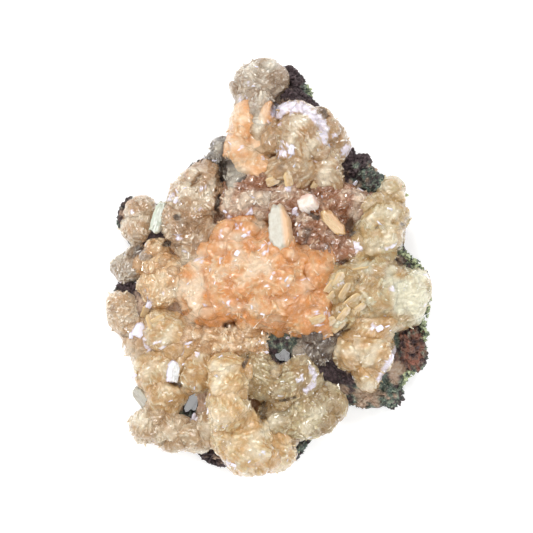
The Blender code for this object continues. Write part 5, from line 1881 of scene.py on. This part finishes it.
class SPECIMEN_OT_crystals(bpy.types.Operator):
    """Builds the single heulandite crystals and cleavage plates"""

    bl_idname = "specimen.crystals"
    bl_label = "Single crystals"

    def execute(self, context):
        palette = context.scene.mineral_colours
        milk, honey, pearl = tuple(palette.milk), tuple(palette.honey), tuple(palette.pearl)
        frost, block, rose = tuple(palette.frost), tuple(palette.block), tuple(palette.rose)
        amber, ash, clear = tuple(palette.amber), tuple(palette.ash), tuple(palette.clear)
        finishes = {
            "standing_blade": crystal_material("milky_heulandite", milk, honey, 0.16, 0.30, 0.3),
            "white_block": crystal_material("white_heulandite", block, rose, 0.10, 0.08),
            "amber_crystal": crystal_material("amber_heulandite", amber, honey, 0.14, 0.14, 0.6, 0.2),
            # The striped, green-white and square plates are pale in part as painted reflection, where their
            # faces glint.
            "striped_plate": crystal_material("pearly_plate", mixed(frost, pearl, 0.5), pearl, 0.95, 0.10),
            "green_white_plate": crystal_material("frosted_plate", frost, frost, 0.95, 0.10),
            "square_plate": crystal_material("bright_plate", pearl, pearl, 0.4, 0.12),
            "grey_blade": crystal_material("ashen_blade", ash, milk, 0.5, 0.2),
        }
        for name, crystal in CRYSTALS.items():
            tips = BLUNT_TIPS if name in BLUNT else POINTED_TIPS
            piece = mesh_object(name + "_crystal", *tabular_surface(crystal, ROUNDING[name], tips))
            finish_piece(piece, finishes[name], name)
        golden = crystal_material("clear_plate", clear, clear, 0.6, 0.08, 1.0, 0.2)
        # The white plates: in part lilac-white crystals, in part a painted highlight where glints fall.
        white = crystal_material("white_plate", pearl, pearl, 0.5, 0.1)
        shard_piece("clear_plates", golden, 1.0, -0.1)
        shard_piece("white_plates", white, 0.75, 0.1)
        return {"FINISHED"}


class SPECIMEN_OT_stage(bpy.types.Operator):
    """Builds the floor, the lights and the camera"""

    bl_idname = "specimen.stage"
    bl_label = "Stage"

    def execute(self, context):
        settings = context.scene.stage_settings
        corners = np.array(((-1, -1, 0), (1, -1, 0), (1, 1, 0), (-1, 1, 0)))
        floor = mesh_object("floor", corners * FLOOR_HALF, np.array(((0, 1, 2), (0, 2, 3))))
        floor.data.materials.append(board_material())
        context.scene.world = self.studio(settings.sky)
        self.soft_light("key", KEY_PLACE, KEY_SIZE, settings.key)
        for number in range(SPARKS):
            tilt = math.radians(SPARK_SPREAD) * math.sqrt((number + 0.5) / SPARKS)
            place = directions_at(tilt, number * GOLDEN_ANGLE) * SPARK_DISTANCE
            self.soft_light(f"spark_{number}", place, SPARK_SIZE, settings.spark)
        context.scene.camera = self.camera_above(settings)
        context.scene.view_settings.view_transform = "Standard"
        return {"FINISHED"}

    def studio(self, strength):
        """Even light from all round."""
        world = bpy.data.worlds.new("studio")
        world.use_nodes = True
        backdrop = world.node_tree.nodes["Background"]
        fill(backdrop, {"Color": (1.0, 0.995, 0.985, 1), "Strength": strength})
        return world

    def camera_above(self, settings):
        """A camera straight above the specimen, so far up that the picture has its width there."""
        lens = bpy.data.cameras.new("camera")
        lens.lens = settings.lens
        lens.clip_start = 0.05
        lens.clip_end = 20.0
        camera = bpy.data.objects.new("camera", lens)
        distance = settings.picture_width * settings.lens / lens.sensor_width
        camera.location = (LOOK_AT[0] * MM, LOOK_AT[1] * MM, LOOK_AT[2] * MM + distance)
        bpy.context.scene.collection.objects.link(camera)
        return camera

    def soft_light(self, name, place, size, power):
        """A round light that shines at the middle of the base."""
        lamp = bpy.data.lights.new(name, "AREA")
        lamp.shape = "DISK"
        lamp.size = size
        lamp.energy = power
        light = bpy.data.objects.new(name, lamp)
        light.location = place
        light.rotation_euler = (-Vector(place)).to_track_quat("-Z", "Y").to_euler()
        bpy.context.scene.collection.objects.link(light)


class SPECIMEN_PT_panel(bpy.types.Panel):
    """Lists the pieces and their settings"""

    bl_label = "Stellerite specimen"
    bl_idname = "SPECIMEN_PT_panel"
    bl_space_type = "VIEW_3D"
    bl_region_type = "UI"
    bl_category = "Specimen"

    def draw(self, context):
        for step in STEPS:
            self.layout.operator(step.bl_idname)
        for group in ("specimen_sizes", "growth_colours", "mineral_colours", "stage_settings"):
            settings = getattr(context.scene, group)
            box = self.layout.box()
            for name in settings.__annotations__:
                box.prop(settings, name)


STEPS = (SPECIMEN_OT_stage, SPECIMEN_OT_rock, SPECIMEN_OT_growths, SPECIMEN_OT_crystals)
SETTINGS = {
    "specimen_sizes": SpecimenSizes,
    "growth_colours": GrowthColours,
    "mineral_colours": MineralColours,
    "stage_settings": StageSettings,
}


def register():
    for group in (*SETTINGS.values(), *STEPS, SPECIMEN_PT_panel):
        bpy.utils.register_class(group)
    for name, group in SETTINGS.items():
        setattr(bpy.types.Scene, name, PointerProperty(type=group))


def unregister():
    for name in SETTINGS:
        delattr(bpy.types.Scene, name)
    for group in (SPECIMEN_PT_panel, *reversed(STEPS), *reversed(tuple(SETTINGS.values()))):
        bpy.utils.unregister_class(group)


def main():
    register()
    for step in STEPS:
        family, name = step.bl_idname.split(".")
        getattr(getattr(bpy.ops, family), name)()


if __name__ == "__main__":
    main()
